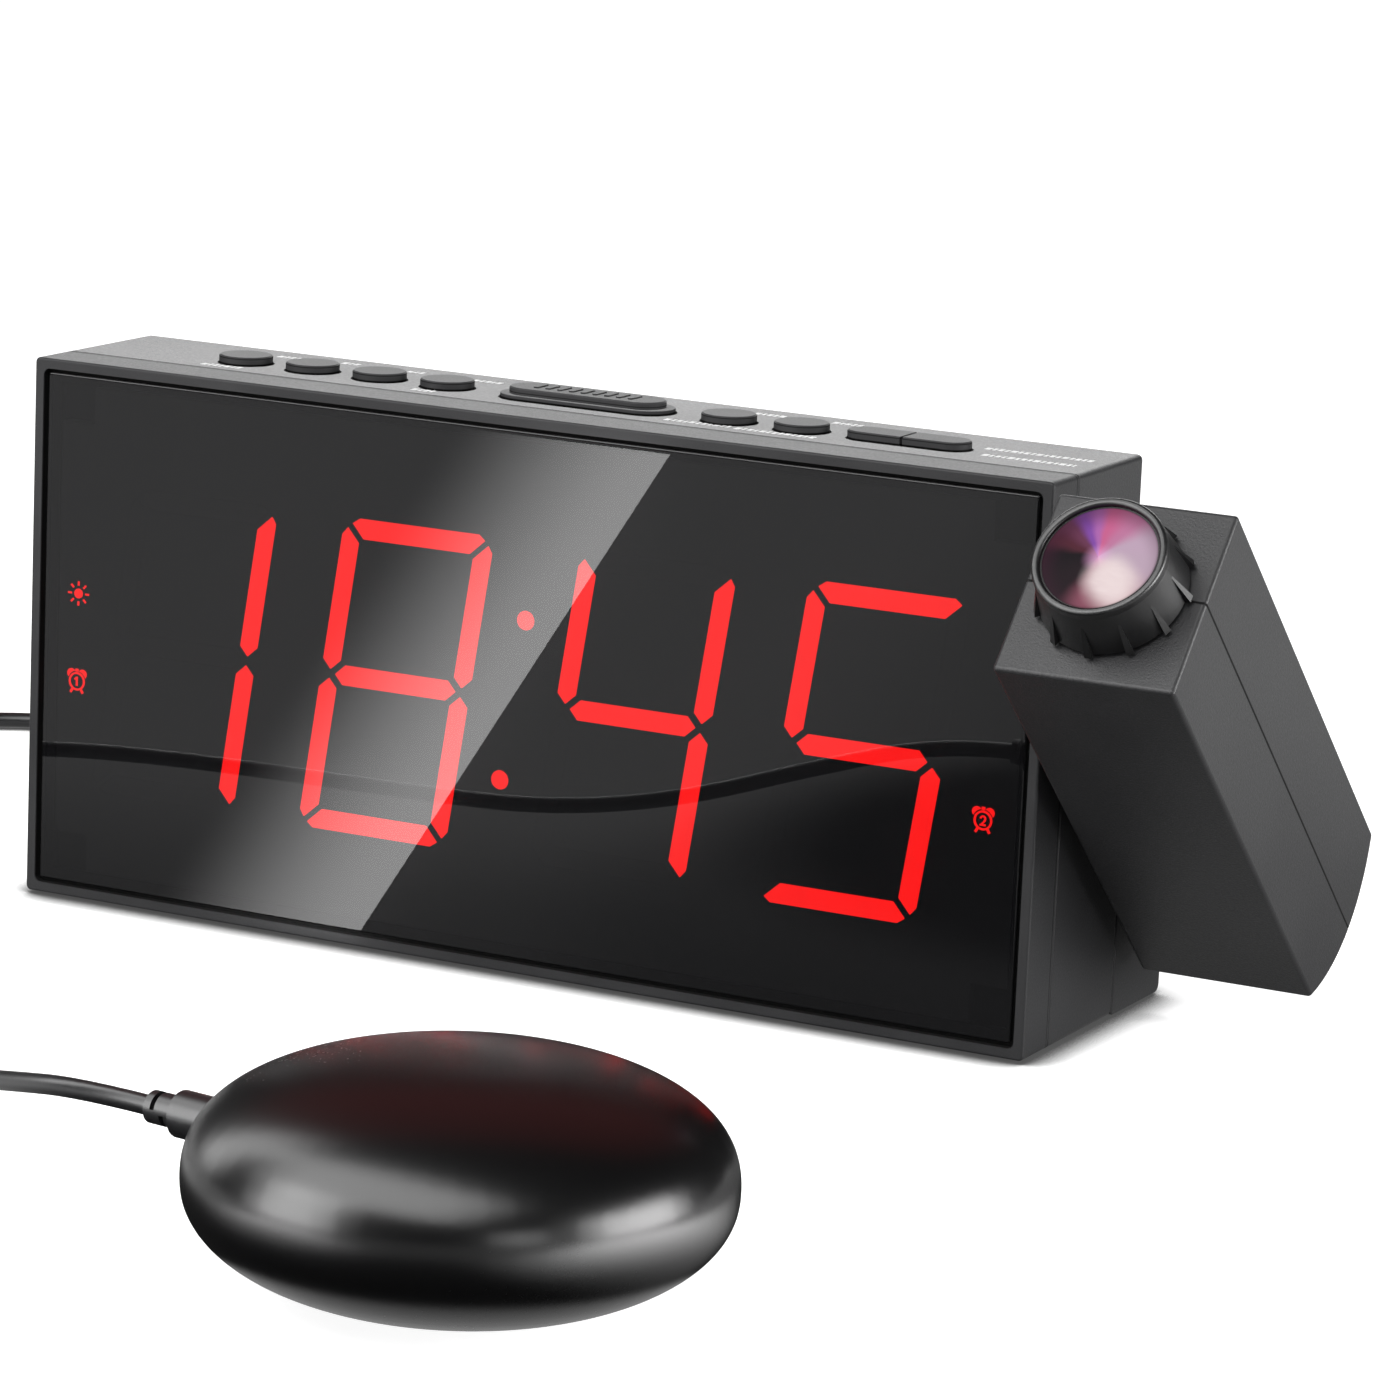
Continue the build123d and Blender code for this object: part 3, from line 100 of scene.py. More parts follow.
class Nodes:
    # the nodes of one material or world
    def __init__(self, owner):
        owner.use_nodes = True
        self.tree = owner.node_tree

    def find(self, kind):
        return next(n for n in self.tree.nodes if n.type == kind)

    def set(self, socket, value):
        if isinstance(value, Wire):
            self.tree.links.new(value.socket, socket)
        elif isinstance(value, (tuple, list)) and len(value) == 3 and socket.type == "RGBA":
            socket.default_value = (*value, 1.0)
        else:
            socket.default_value = value

    def node(self, kind, settings=None, values=None, output=0):
        made = self.tree.nodes.new(kind)
        for key, value in (settings or {}).items():
            if key == "stops":
                ramp = made.color_ramp
                ramp.interpolation = "EASE"
                while len(ramp.elements) < len(value):
                    ramp.elements.new(0.5)
                for element, (place, colour) in zip(ramp.elements, value):
                    element.position = place
                    element.color = (*colour, 1.0)
            else:
                setattr(made, key, value)
        for key, value in (values or {}).items():
            self.set(made.inputs[key], value)
        return Wire(self, made.outputs[output])


class Paint(Nodes):
    # one material, built from its Principled shader
    def __init__(self, name, **fixed):
        self.material = bpy.data.materials.new(name)
        super().__init__(self.material)
        self.shader = self.find("BSDF_PRINCIPLED")
        self.feed(**fixed)

    def feed(self, **values):
        # numbers, colours or wires, by the shader's own socket names
        for socket, value in values.items():
            self.set(self.shader.inputs[socket.replace("_", " ")], value)

    def surface(self, wire):
        # another shader in place of the Principled one
        self.set(self.find("OUTPUT_MATERIAL").inputs["Surface"], wire)

    def place(self, scale=mm, turn=(0, 0, 0), centre=(0, 0, 0)):
        # the object's own coordinates, in millimetres unless another scale is given
        texture = self.node("ShaderNodeTexCoord", output="Object")
        moved = self.node(
            "ShaderNodeMapping",
            {"vector_type": "TEXTURE"},
            {"Vector": texture, "Location": centre, "Rotation": turn},
        )
        return self.node("ShaderNodeVectorMath", {"operation": "SCALE"}, {0: moved, "Scale": scale})

    def noise(self, where, scale, detail=2.0, roughness=0.5):
        return self.node(
            "ShaderNodeTexNoise", None,
            {"Vector": where, "Scale": scale, "Detail": detail, "Roughness": roughness},
        )

    def blend(self, share, first, second):
        # a colour between two, by a share from 0 to 1, on the Mix node's colour sockets
        return self.node("ShaderNodeMix", {"data_type": "RGBA"}, {0: share, 6: first, 7: second}, 2)

    def part(self, where, axis):
        # one coordinate of a place
        return self.node("ShaderNodeSeparateXYZ", None, {0: where}, "XYZ".index(axis))

    def away(self, where, point):
        # distance from a point
        return self.node("ShaderNodeVectorMath", {"operation": "DISTANCE"}, {0: where, 1: point}, 1)

    def bump(self, height, strength, distance):
        return self.node(
            "ShaderNodeBump", None, {"Height": height, "Strength": strength, "Distance": distance}
        )


def tone(colour, share, lift=0.0):
    # a darker or paler shade of a colour
    return tuple(c * share + lift for c in colour)


def dress(paint, *nodes):
    # give CAD nodes their finish
    for name in nodes:
        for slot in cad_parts[name].material_slots:
            slot.material = paint.material


def joinScene(name, data):
    thing = bpy.data.objects.new(name, data)
    bpy.context.scene.collection.objects.link(thing)
    return thing


def hideFrom(piece, *rays):
    for ray in rays:
        setattr(piece, "visible_" + ray, False)


# Moulded plastic: fine spark-eroded grain, slightly uneven shine, and a dark line where two shells meet
# In every finish a step is a level and its softness, and a mix is how rough the noise's finer layers are
mouldedSkin = {
    "grainDetail": 3.0, "grainMix": 0.65, "grainShine": 0.3, "grainHeight": 0.00006,
    "cloud": 0.05, "cloudStep": (0.5, 0.25), "cloudShine": 0.06,
    # the black of a seam, also used for painted shade in a gap or at a cap's foot, and how much duller it is
    "seamAndShadeColour": (0.0, 0.0, 0.0), "seamAndShadeDull": 0.4,
}
casePlastic = {
    "colour": (0.017, 0.017, 0.018), "dark": (0.013, 0.013, 0.014), "grain": 2.6,
    "rough": 0.44, "shine": 0.32, "bump": 0.7,
}
seamLine = {"half": 0.1, "soft": 0.06}
shellSeam = {"half": 0.24, "soft": 0.06}


def makePlastic(name, facts, dark=None):
    # dark gives the share of black at a place: 1 in a seam, and in painted shade in a gap or at a cap's foot
    paint = Paint(name, Specular_IOR_Level=facts["shine"])
    where = paint.place()
    grain = paint.noise(where, facts["grain"], mouldedSkin["grainDetail"], mouldedSkin["grainMix"])
    cloud = paint.noise(where, mouldedSkin["cloud"])
    skin = paint.blend(cloud.above(*mouldedSkin["cloudStep"]), facts["dark"], facts["colour"])
    rough = facts["rough"] + grain.swing(mouldedSkin["grainShine"]) + cloud.swing(mouldedSkin["cloudShine"])
    if dark:
        share = dark(paint)
        skin = paint.blend(share, skin, mouldedSkin["seamAndShadeColour"])
        rough = rough + share * mouldedSkin["seamAndShadeDull"]
    normal = paint.bump(grain, facts["bump"], mouldedSkin["grainHeight"])
    paint.feed(Base_Color=skin, Roughness=rough, Normal=normal)
    return paint


def seamDark(facts, centre, turn=0.0):
    # a thin plane across the piece, at right angles to its own Y
    def share(paint):
        across = paint.part(paint.place(turn=(turn, 0, 0), centre=centre), "Y")
        return across.within(facts["half"], facts["soft"])
    return share


bezelBox, housingBox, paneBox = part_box("front_bezel"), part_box("main_housing"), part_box("display_window")
caseSeam = seamDark(seamLine, (0, housingBox[0][1], 0))
# painted shade in the groove round the pane: how far it reaches past the pane and how far back it starts
bezelGapShade = {"width": 0.9, "soft": 0.06, "lip": 0.3, "lipSoft": 0.08}


def bezelSeamAndGapShade(paint):
    # painted shade in the gap round the pane, and the seam to the housing
    where = paint.place()

    def overPane(axis):
        low, high = (corner["XYZ".index(axis)] * mm for corner in paneBox)
        half = (high - low) / 2 + bezelGapShade["width"]
        return (paint.part(where, axis) - (low + high) / 2).within(half, bezelGapShade["soft"])

    deep = paint.part(where, "Y").above(bezelBox[0][1] * mm + bezelGapShade["lip"], bezelGapShade["lipSoft"])
    return (overPane("X") * overPane("Z") * deep).most(caseSeam(paint))


bezelPlastic = casePlastic | {"colour": (0.020, 0.020, 0.021), "rough": 0.5, "shine": 0.25}
dress(makePlastic("bezelPlastic", bezelPlastic, bezelSeamAndGapShade), "front_bezel")
dress(makePlastic("casePlastic", casePlastic, caseSeam), "main_housing", "rear_base", "battery_door")

# Projector: the point it tilts about, how far it leans, and how far beside that point the lens has its middle
projector = {"pivot": (0.0985, -0.00745, 0.0475), "tilt": math.radians(47.7), "middle": 0.01495}
shellPlastic = casePlastic | {"shine": 0.45, "bump": 0.9}
shellDark = seamDark(shellSeam, projector["pivot"], projector["tilt"])
dress(makePlastic("shellPlastic", shellPlastic, shellDark), "projector_front_shell", "projector_rear_shell")

buttonPlastic = {
    "colour": (0.030, 0.030, 0.031), "dark": (0.025, 0.025, 0.026), "grain": 3.4,
    "rough": 0.5, "shine": 0.12, "bump": 0.2,
}
capLines = {"foot": 0.32, "edge": 1.2, "edgeDark": 0.75, "half": 0.09, "soft": 0.06}
buttonNodes = (
    "set_button", "alarm_one_button", "alarm_two_button", "dimmer_button", "minus_button", "plus_button",
    "snooze_bar", "projection_button", "flip_button",
)


def capFootShadeAndLine(paint):
    # painted shade at the foot of a cap in its hole, and the fine line under its rounded top edge
    height = paint.part(paint.place(), "Z") - housingBox[1][2] * mm
    foot = height.below(capLines["foot"], capLines["soft"])
    edge = (height - capLines["edge"]).within(capLines["half"], capLines["soft"])
    return foot.most(edge * capLines["edgeDark"])


dress(makePlastic("buttonPlastic", buttonPlastic, capFootShadeAndLine), *buttonNodes)
for name in buttonNodes:
    hideFrom(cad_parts[name], "glossy")  # the matt case top shows no mirror image of the caps

ringPlastic = {
    "colour": (0.003, 0.003, 0.0033), "dark": (0.0022, 0.0022, 0.0025), "grain": 2.8,
    "rough": 0.36, "shine": 0.75, "bump": 0.25,
}
dress(makePlastic("ringPlastic", ringPlastic), "focus_ring", "projector_hub")

blackPlastic = {
    "colour": (0.006, 0.006, 0.006), "dark": (0.004, 0.004, 0.004), "grain": 2.2,
    "rough": 0.6, "shine": 0.5, "bump": 0.3,
}
dress(
    makePlastic("blackPlastic", blackPlastic),
    "led_reflector", "lens_barrel", "lens_guide", "lamp_tube", "battery_holder", "motor_bracket",
    "push_switches", "shaker_socket", "speaker",
)

print("plastics done")


# Display: a smoked pane that lets a fifth of the light through, lit and dark bars behind it
paneGlass = {
    "smoke": (0.004, 0.004, 0.0045), "ior": 1.52, "cover": 0.8, "skinStep": (0.7, 0.05),
    "edge": 0.14, "edgeSoft": 0.05, "edgeHighlightColour": (0.095, 0.095, 0.095),
    "smear": 0.035, "smearDetail": 3.0, "smearDark": 0.7, "smearStep": (0.66, 0.1), "smearRough": 0.012,
}
litBar = {
    "body": (0.5, 0.02, 0.015), "rough": 0.5, "strength": 4.9,
    "colour": (1.0, 0.006, 0.006), "dim": (0.93, 0.005, 0.005), "cloud": 0.25, "cloudStep": (0.5, 0.3),
}
darkBar = {
    "colour": (0.007, 0.006, 0.006), "dark": (0.004, 0.003, 0.003),
    "cloud": 0.8, "rough": 0.55, "cloudRough": 0.1,
}


def makePane():
    # only the front skin is smoked: the rest of the pane is clear, but for a painted highlight line along its
    # top edge
    paint = Paint("windowPane", IOR=paneGlass["ior"])
    where = paint.place()
    depth = paint.part(where, "Y") - paneBox[0][1] * mm
    # painted highlight: a pale opaque line along the pane's top edge
    edge = paint.part(where, "Z").above(paneBox[1][2] * mm - paneGlass["edge"], paneGlass["edgeSoft"])
    smear = paint.noise(where, paneGlass["smear"], paneGlass["smearDetail"])
    smoke = paint.blend(smear, tone(paneGlass["smoke"], paneGlass["smearDark"]), paneGlass["smoke"])
    paint.feed(
        Alpha=(depth.below(*paneGlass["skinStep"]) * paneGlass["cover"]).most(edge),
        Base_Color=paint.blend(edge, smoke, paneGlass["edgeHighlightColour"]),
        Roughness=smear.above(*paneGlass["smearStep"]) * paneGlass["smearRough"],
    )
    return paint


def makeLitBar():
    paint = Paint(
        "litBar", Base_Color=litBar["body"], Roughness=litBar["rough"], Emission_Strength=litBar["strength"]
    )
    cloud = paint.noise(paint.place(), litBar["cloud"])
    paint.feed(Emission_Color=paint.blend(cloud.above(*litBar["cloudStep"]), litBar["dim"], litBar["colour"]))
    return paint


def makeDarkBar():
    paint = Paint("darkBar")
    cloud = paint.noise(paint.place(), darkBar["cloud"])
    paint.feed(
        Base_Color=paint.blend(cloud, darkBar["dark"], darkBar["colour"]),
        Roughness=darkBar["rough"] + cloud * darkBar["cloudRough"],
    )
    return paint


dress(makePane(), "display_window")
dress(makeLitBar(), "lit_segments", "indicator_icons")
dress(makeDarkBar(), "unlit_segments")


# Puck: satin black with a faint flow
puckPlastic = {
    "colour": (0.0014, 0.0014, 0.0015), "dark": (0.0008, 0.0008, 0.0009), "rough": 0.26, "shine": 0.5,
    "speck": 1.6, "speckDetail": 3.0, "speckMix": 0.6, "speckRough": 0.04, "speckBump": 0.06,
    "speckHeight": 0.00003, "flow": 0.03, "flowRough": 0.04,
}


def makePuckSkin():
    paint = Paint("puckPlastic", Specular_IOR_Level=puckPlastic["shine"])
    where = paint.place()
    speck = paint.noise(where, puckPlastic["speck"], puckPlastic["speckDetail"], puckPlastic["speckMix"])
    flow = paint.noise(where, puckPlastic["flow"])
    uneven = puckPlastic["rough"] + speck.swing(puckPlastic["speckRough"])
    paint.feed(
        Base_Color=paint.blend(flow, puckPlastic["dark"], puckPlastic["colour"]),
        Roughness=uneven + flow.swing(puckPlastic["flowRough"]),
        Normal=paint.bump(speck, puckPlastic["speckBump"], puckPlastic["speckHeight"]),
    )
    return paint


dress(makePuckSkin(), "shaker_top", "shaker_bottom")


# Metals: the same wear on each, with scratches to the millimetre
metalWear = {"detail": 4.0, "mix": 0.7, "dull": 0.82, "rough": 0.2, "bump": 0.15, "height": 0.00004}
metals = {
    "screwSteel": {
        "colour": (0.52, 0.52, 0.54), "rough": 0.34, "scratches": 1.5,
        "nodes": (
            "case_screws", "base_screws", "board_screws", "projector_screws", "shaker_screws", "hub_clip",
        ),
    },
    "socketSteel": {
        "colour": (0.62, 0.62, 0.63), "rough": 0.26, "scratches": 0.9,
        "nodes": ("usb_charge_socket", "power_socket"),
    },
    "cellSteel": {"colour": (0.66, 0.66, 0.66), "rough": 0.3, "scratches": 0.4, "nodes": ("coin_cell",)},
    "motorSteel": {"colour": (0.56, 0.56, 0.57), "rough": 0.3, "scratches": 0.6, "nodes": ("shaker_motor",)},
    "weightBrass": {
        "colour": (0.72, 0.52, 0.24), "rough": 0.3, "scratches": 1.2,
        "nodes": ("eccentric_weight",),
    },
}


def makeMetal(name, facts):
    paint = Paint(name, Metallic=1.0)
    scratch = paint.noise(paint.place(), facts["scratches"], metalWear["detail"], metalWear["mix"])
    paint.feed(
        Base_Color=paint.blend(scratch, tone(facts["colour"], metalWear["dull"]), facts["colour"]),
        Roughness=facts["rough"] + scratch.swing(metalWear["rough"]),
        Normal=paint.bump(scratch, metalWear["bump"], metalWear["height"]),
    )
    return paint


for metalName, metalFacts in metals.items():
    dress(makeMetal(metalName, metalFacts), *metalFacts["nodes"])


# Boards: green mask over a faint pattern of tracks, with black chips and pale lamps
boardMask = {
    "colour": (0.007, 0.065, 0.030), "dark": (0.004, 0.045, 0.020), "cloud": 0.2, "cloudDetail": 3.0,
    "rough": 0.32, "cloudRough": 0.12, "trackColour": (0.012, 0.10, 0.05), "trackBump": 0.3,
    "trackHeight": 0.00008,
    "tracks": {"Scale": 0.16, "Mortar Size": 0.03, "Brick Width": 0.9, "Row Height": 0.32},
}
chipPlastic = {
    "colour": (0.02, 0.02, 0.022), "dark": (0.014, 0.014, 0.015), "grain": 1.8,
    "rough": 0.45, "shine": 0.5, "bump": 0.35,
}
lampPlastic = {
    "colour": (0.7, 0.66, 0.55), "dark": (0.6, 0.56, 0.45), "grain": 1.5,
    "rough": 0.3, "shine": 0.5, "bump": 0.35,
}


def makeBoard():
    paint = Paint("boardMask")
    where = paint.place()
    tracks = paint.node("ShaderNodeTexBrick", None, {"Vector": where} | boardMask["tracks"], "Fac")
    cloud = paint.noise(where, boardMask["cloud"], boardMask["cloudDetail"])
    ground = paint.blend(cloud, boardMask["dark"], boardMask["colour"])
    paint.feed(
        Base_Color=paint.blend(tracks, ground, boardMask["trackColour"]),
        Roughness=boardMask["rough"] + cloud * boardMask["cloudRough"],
        Normal=paint.bump(tracks, boardMask["trackBump"], boardMask["trackHeight"]),
    )
    return paint


dress(makeBoard(), "display_board", "button_board", "main_board", "socket_board", "lamp_board")
dress(makePlastic("chipBlack", chipPlastic), "board_parts")
dress(makePlastic("lampBody", lampPlastic), "display_lamps")


# Rubber: matt, with a paler dust in patches
rubberDust = {
    "scale": 1.4, "detail": 4.0, "mix": 0.7, "step": (0.6, 0.2), "paler": 1.5, "lift": 0.002, "rough": 0.12,
    "bump": 0.25, "height": 0.00005,
}
padRubber = {"colour": (0.02, 0.02, 0.02), "rough": 0.7}
cordJacket = {"colour": (0.007, 0.007, 0.0075), "rough": 0.3}


def makeRubber(name, facts):
    paint = Paint(name)
    dust = paint.noise(paint.place(), rubberDust["scale"], rubberDust["detail"], rubberDust["mix"])
    dusty = tone(facts["colour"], rubberDust["paler"], rubberDust["lift"])
    paint.feed(
        Base_Color=paint.blend(dust.above(*rubberDust["step"]), facts["colour"], dusty),
        Roughness=facts["rough"] + dust.swing(rubberDust["rough"]),
        Normal=paint.bump(dust, rubberDust["bump"], rubberDust["height"]),
    )
    return paint


dress(makeRubber("padRubber", padRubber), "resting_pad", "shaker_pad")
cordSkin = makeRubber("cordJacket", cordJacket)
dress(cordSkin, "strain_relief", "shaker_plug")


# Projector glass: a coated lens, lit from behind, with its coloured reflections painted into the glow as
# wedges about its middle
# The turn starts at the left and goes round by the foot; the spots have their middles across and up the lens
lensCoat = {"body": (0.003, 0.002, 0.003), "rough": 0.25, "shine": 0.02}
lensGlowAndReflection = {
    "strength": 0.95, "wave": 0.22, "waveMix": 0.4, "turnAbout": (0.3, -0.6), "turnWaver": 0.03,
    "turn": [
        (0.0, (0.008, 0.006, 0.007)), (0.15, (0.014, 0.008, 0.010)), (0.25, (0.28, 0.09, 0.13)),
        (0.36, (0.60, 0.40, 0.42)), (0.50, (0.54, 0.40, 0.50)), (0.60, (0.56, 0.40, 0.52)),
        (0.68, (0.56, 0.21, 0.37)), (0.76, (0.62, 0.14, 0.30)), (0.80, (0.45, 0.15, 0.45)),
        (0.845, (0.24, 0.08, 0.40)), (0.89, (0.15, 0.045, 0.09)), (0.95, (0.09, 0.022, 0.035)),
        (1.0, (0.010, 0.007, 0.008)),
    ],
    "rose": {"middle": (0.3, -0.8, 0.0), "step": (1.2, 1.8), "share": 0.7, "colour": (0.96, 0.47, 0.82)},
    "rim": {"middle": (1.2, -1.6, 0.0), "step": (8.4, 2.4), "share": 0.6, "colour": (0.05, 0.015, 0.03)},
    "pale": {
        "middle": (3.4, -4.3, 0.0), "step": (3.5, 2.0), "share": 0.8, "colour": (0.90, 0.76, 0.76),
        "waver": 2.0, "streaks": 0.9, "streakShare": 0.25, "streakStretch": (0.5, 1.4, 0.5),
    },
    "edge": {"middle": (0.0, 0.0, 0.0), "step": (9.1, 0.4), "colour": (0.015, 0.010, 0.012)},
}
clearGlass = {"haze": 0.6, "hazeDetail": 3.0, "hazeTint": 0.96, "hazeRough": 0.04}


def lensPlace(paint):
    # across the lens, up the lens and along its axis, in millimetres from its middle
    x, y, z = projector["pivot"]
    return paint.place(turn=(projector["tilt"], 0, 0), centre=(x + projector["middle"], y, z))


def makeLens():
    paint = Paint(
        "lensCoat", Base_Color=lensCoat["body"], Roughness=lensCoat["rough"],
        Specular_IOR_Level=lensCoat["shine"], Emission_Strength=lensGlowAndReflection["strength"],
    )
    where = lensPlace(paint)
    across, up = paint.part(where, "X"), paint.part(where, "Y")
    flat = paint.node("ShaderNodeCombineXYZ", None, {0: across, 1: up, 2: 0.0})
    wave = paint.noise(where, lensGlowAndReflection["wave"], roughness=lensGlowAndReflection["waveMix"])
    rose, rim, pale, edge = (lensGlowAndReflection[key] for key in ("rose", "rim", "pale", "edge"))

    aboutX, aboutY = lensGlowAndReflection["turnAbout"]
    turn = (up - aboutY).math("ARCTAN2", across - aboutX) * (1.0 / (2 * math.pi)) + 0.5
    turn = turn + wave.swing(lensGlowAndReflection["turnWaver"])
    glow = paint.node("ShaderNodeValToRGB", {"stops": lensGlowAndReflection["turn"]}, {"Fac": turn})

    inRose = paint.away(flat, rose["middle"]).below(*rose["step"])
    glow = paint.blend(inRose * rose["share"], glow, rose["colour"])
    inRim = paint.away(flat, rim["middle"]).above(*rim["step"])
    glow = paint.blend(inRim * rim["share"], glow, rim["colour"])

    # painted highlight: the pale spot low on the right of the lens
    inPaleHighlight = (paint.away(flat, pale["middle"]) + wave.swing(pale["waver"])).below(*pale["step"])
    stretched = paint.node(
        "ShaderNodeVectorMath", {"operation": "MULTIPLY"}, {0: where, 1: pale["streakStretch"]}
    )
    streaks = paint.noise(stretched, pale["streaks"])
    glow = paint.blend(inPaleHighlight * (pale["share"] + streaks * pale["streakShare"]), glow, pale["colour"])

    inEdge = paint.away(flat, edge["middle"]).above(*edge["step"])
    paint.feed(Emission_Color=paint.blend(inEdge, glow, edge["colour"]))
    return paint


def makeClear(name, tint, ior):
    paint = Paint(name, IOR=ior, Transmission_Weight=1.0)
    haze = paint.noise(paint.place(), clearGlass["haze"], clearGlass["hazeDetail"])
    paint.feed(
        Base_Color=paint.blend(haze, tone(tint, clearGlass["hazeTint"]), tint),
        Roughness=haze * clearGlass["hazeRough"],
    )
    return paint


dress(makeLens(), "projection_lens")
dress(makeClear("condenserGlass", tint=(0.95, 0.95, 0.96), ior=1.52), "condenser_lens")
dress(makeClear("filmGlass", tint=(0.55, 0.58, 0.62), ior=1.5), "image_film")

print("finishes done")


# Lead: one soft line from the plug's boot, round the put-away coil, to the shaker
lead = {
    "radius": 0.0015, "length": 1.43, "low": 0.0016,
    "coilCentre": (-0.160, -0.00975), "coilInner": 0.013, "coilPitch": 0.0031,
    "coilTurns": 4, "coilSteps": 14,
}
leadToClock = [
    (-0.045, 0.05515, 0.0152),
    (-0.045, 0.06715, 0.0152),
    (-0.052, 0.082, 0.0122),
    (-0.074, 0.095, 0.0046),
    (-0.098, 0.101, 0.0016),
    (-0.125, 0.099, 0.0016),
    (-0.151, 0.092, 0.0016),
    (-0.174, 0.0834, 0.0016),
    (-0.189, 0.066, 0.0016),
    (-0.192, 0.043, 0.0016),
    (-0.1823, 0.020, 0.0016),
]
leadToShaker = [
    (-0.1823, -0.037, 0.0047),
    (-0.182, -0.060, 0.0028),
    (-0.179, -0.084, 0.0016),
    (-0.170, -0.107, 0.0016),
    (-0.151, -0.122, 0.0016),
    (-0.127, -0.128, 0.0016),
    (-0.101, -0.130, 0.0016),
    (-0.075, -0.1312, 0.0016),
    (-0.050, -0.1345, 0.0018),
    (-0.028, -0.1455, 0.0046),
    (-0.008, -0.1605, 0.0108),
    (0.01196, -0.173022, 0.016),
    (0.025806, -0.175091, 0.016),
]


def coilPoint(turn, radius, rise=0.0):
    centreX, centreY = lead["coilCentre"]
    angle = math.pi + turn * 2 * math.pi
    return (centreX + radius * math.cos(angle), centreY + radius * math.sin(angle), lead["low"] + rise)


def coilPoints():
    # from the outside in on the lower layer, then from the inside out on the upper one
    steps, turns, pitch, inner = (lead[key] for key in ("coilSteps", "coilTurns", "coilPitch", "coilInner"))
    outer = inner + (turns - 1) * pitch
    points = []
    for index in range(turns * steps + 1):
        turn = index / steps
        points.append(coilPoint(turn, outer - pitch * min(turn, turns - 1.0)))
    for index in range(1, turns * steps + 1):
        turn = index / steps
        rise = min(1.0, turn * 2) * pitch  # up to the second layer within half a turn
        points.append(coilPoint(turn, inner + pitch * min(turn, turns - 1.0), rise))
    return points


def makeLead():
    curve = bpy.data.curves.new("shakerLead", "CURVE")
    curve.dimensions = "3D"
    curve.bevel_depth = lead["radius"]
    curve.bevel_resolution = 5
    curve.resolution_u = 6
    curve.use_fill_caps = True
    points = leadToClock + coilPoints() + leadToShaker
    spline = curve.splines.new("NURBS")
    spline.points.add(len(points) - 1)
    for point, place in zip(spline.points, points):
        point.co = (*place, 1.0)
    spline.order_u = 3
    spline.use_endpoint_u = True
    piece = joinScene("shakerLead", curve)
    piece.data.materials.append(cordSkin.material)
    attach(piece, "clock")
    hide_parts("lead_to_clock", "lead_coil", "lead_to_shaker")
    return piece


shakerLead = makeLead()
print("lead done")


# Printed marks on the case top: rows of short white bars, given from x to x and their y in millimetres
marks = {
    "rows": (
        (-69.7, -61.4, -14.6), (-64.3, -59.5, 1.5), (-52.2, -48.4, 2.8), (-38.9, -35.6, 2.1),
        (-25.5, -20.1, 1.3), (-28.4, -23.9, -14.4), (19.0, 30.9, -13.6), (32.1, 46.5, -14.0),
        (27.6, 33.7, 2.2), (41.9, 47.1, 2.4), (72.6, 91.4, -4.4), (74.8, 91.0, -10.6),
    ),
    "bars": (1.0, 0.55, 0.8, 0.55), "shortest": 0.3, "gap": 0.4, "tall": 1.7, "thick": 0.05, "sunk": 0.02,
}
whiteInk = {
    "colour": (0.80, 0.80, 0.80), "worn": (0.62, 0.62, 0.62), "shine": 0.3, "rough": 0.5,
    "wear": 1.3, "wearDetail": 3.0, "wearMix": 0.6, "wearStep": (0.5, 0.3), "wearRough": 0.1,
}


def makeInk():
    paint = Paint("whiteInk", Specular_IOR_Level=whiteInk["shine"])
    wear = paint.noise(paint.place(), whiteInk["wear"], whiteInk["wearDetail"], whiteInk["wearMix"])
    paint.feed(
        Base_Color=paint.blend(wear.above(*whiteInk["wearStep"]), whiteInk["colour"], whiteInk["worn"]),
        Roughness=whiteInk["rough"] + wear * whiteInk["wearRough"],
    )
    return paint


def makeMarks():
    top = housingBox[1][2] * mm
    shape = bmesh.new()
    for start, end, y in marks["rows"]:
        x, count = start, 0
        while x + marks["shortest"] < end:
            width = min(marks["bars"][count % len(marks["bars"])], end - x)
            middle = (x + width / 2, y, top - marks["sunk"] + marks["thick"] / 2)
            spot = Matrix.Translation(middle) @ Matrix.Diagonal((width, marks["tall"], marks["thick"], 1.0))
            bmesh.ops.create_cube(shape, size=1.0, matrix=Matrix.Scale(1 / mm, 4) @ spot)
            x += width + marks["gap"]
            count += 1
    mesh = bpy.data.meshes.new("topMarks")
    shape.to_mesh(mesh)
    shape.free()
    mesh.materials.append(makeInk().material)
    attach(joinScene("topMarks", mesh), "clock")


makeMarks()
print("marks done")


# Stage: a floor that the camera sees as white, darker only where something touches it
# The contact shade reaches farther from the clock than from the puck
stage = {
    "floor": 12.0, "pale": 0.5, "glow": 0.92,
    "contact": 0.009, "contactStep": (0.76, 0.26), "contactRays": 8, "contactDark": 0.08,
    "puck": (0.0804, -0.18325, 0.0), "puckNear": (0.065, 0.01), "puckContact": 0.0008,
}
# The floor in glossy surfaces: a bright glow, with soft patches of painted shade
mirrorFloor = {
    "bright": 0.76,
    "clock": {"middle": (0.0, 0.016), "half": (0.095, 0.044), "reach": 0.12, "dark": 0.45},
    "front": {"start": 0.03, "lean": 0.27, "back": -0.03, "soft": 0.04, "dark": 0.3},
    "byProjector": {"middle": (0.16, 0.09, 0.0), "step": (0.09, 0.04), "dark": 0.6},
    "puck": {"footStep": (0.0345, 0.003), "step": (0.10, 0.02), "dark": 0.95},
    "behindPuck": {"middle": (0.075, -0.105, 0.0), "step": (0.10, 0.03), "dark": 0.5},
}


def stagePlane(name, corners):
    mesh = bpy.data.meshes.new(name)
    mesh.from_pydata(corners, [], [(0, 1, 2, 3)])
    plane = joinScene(name, mesh)
    return plane


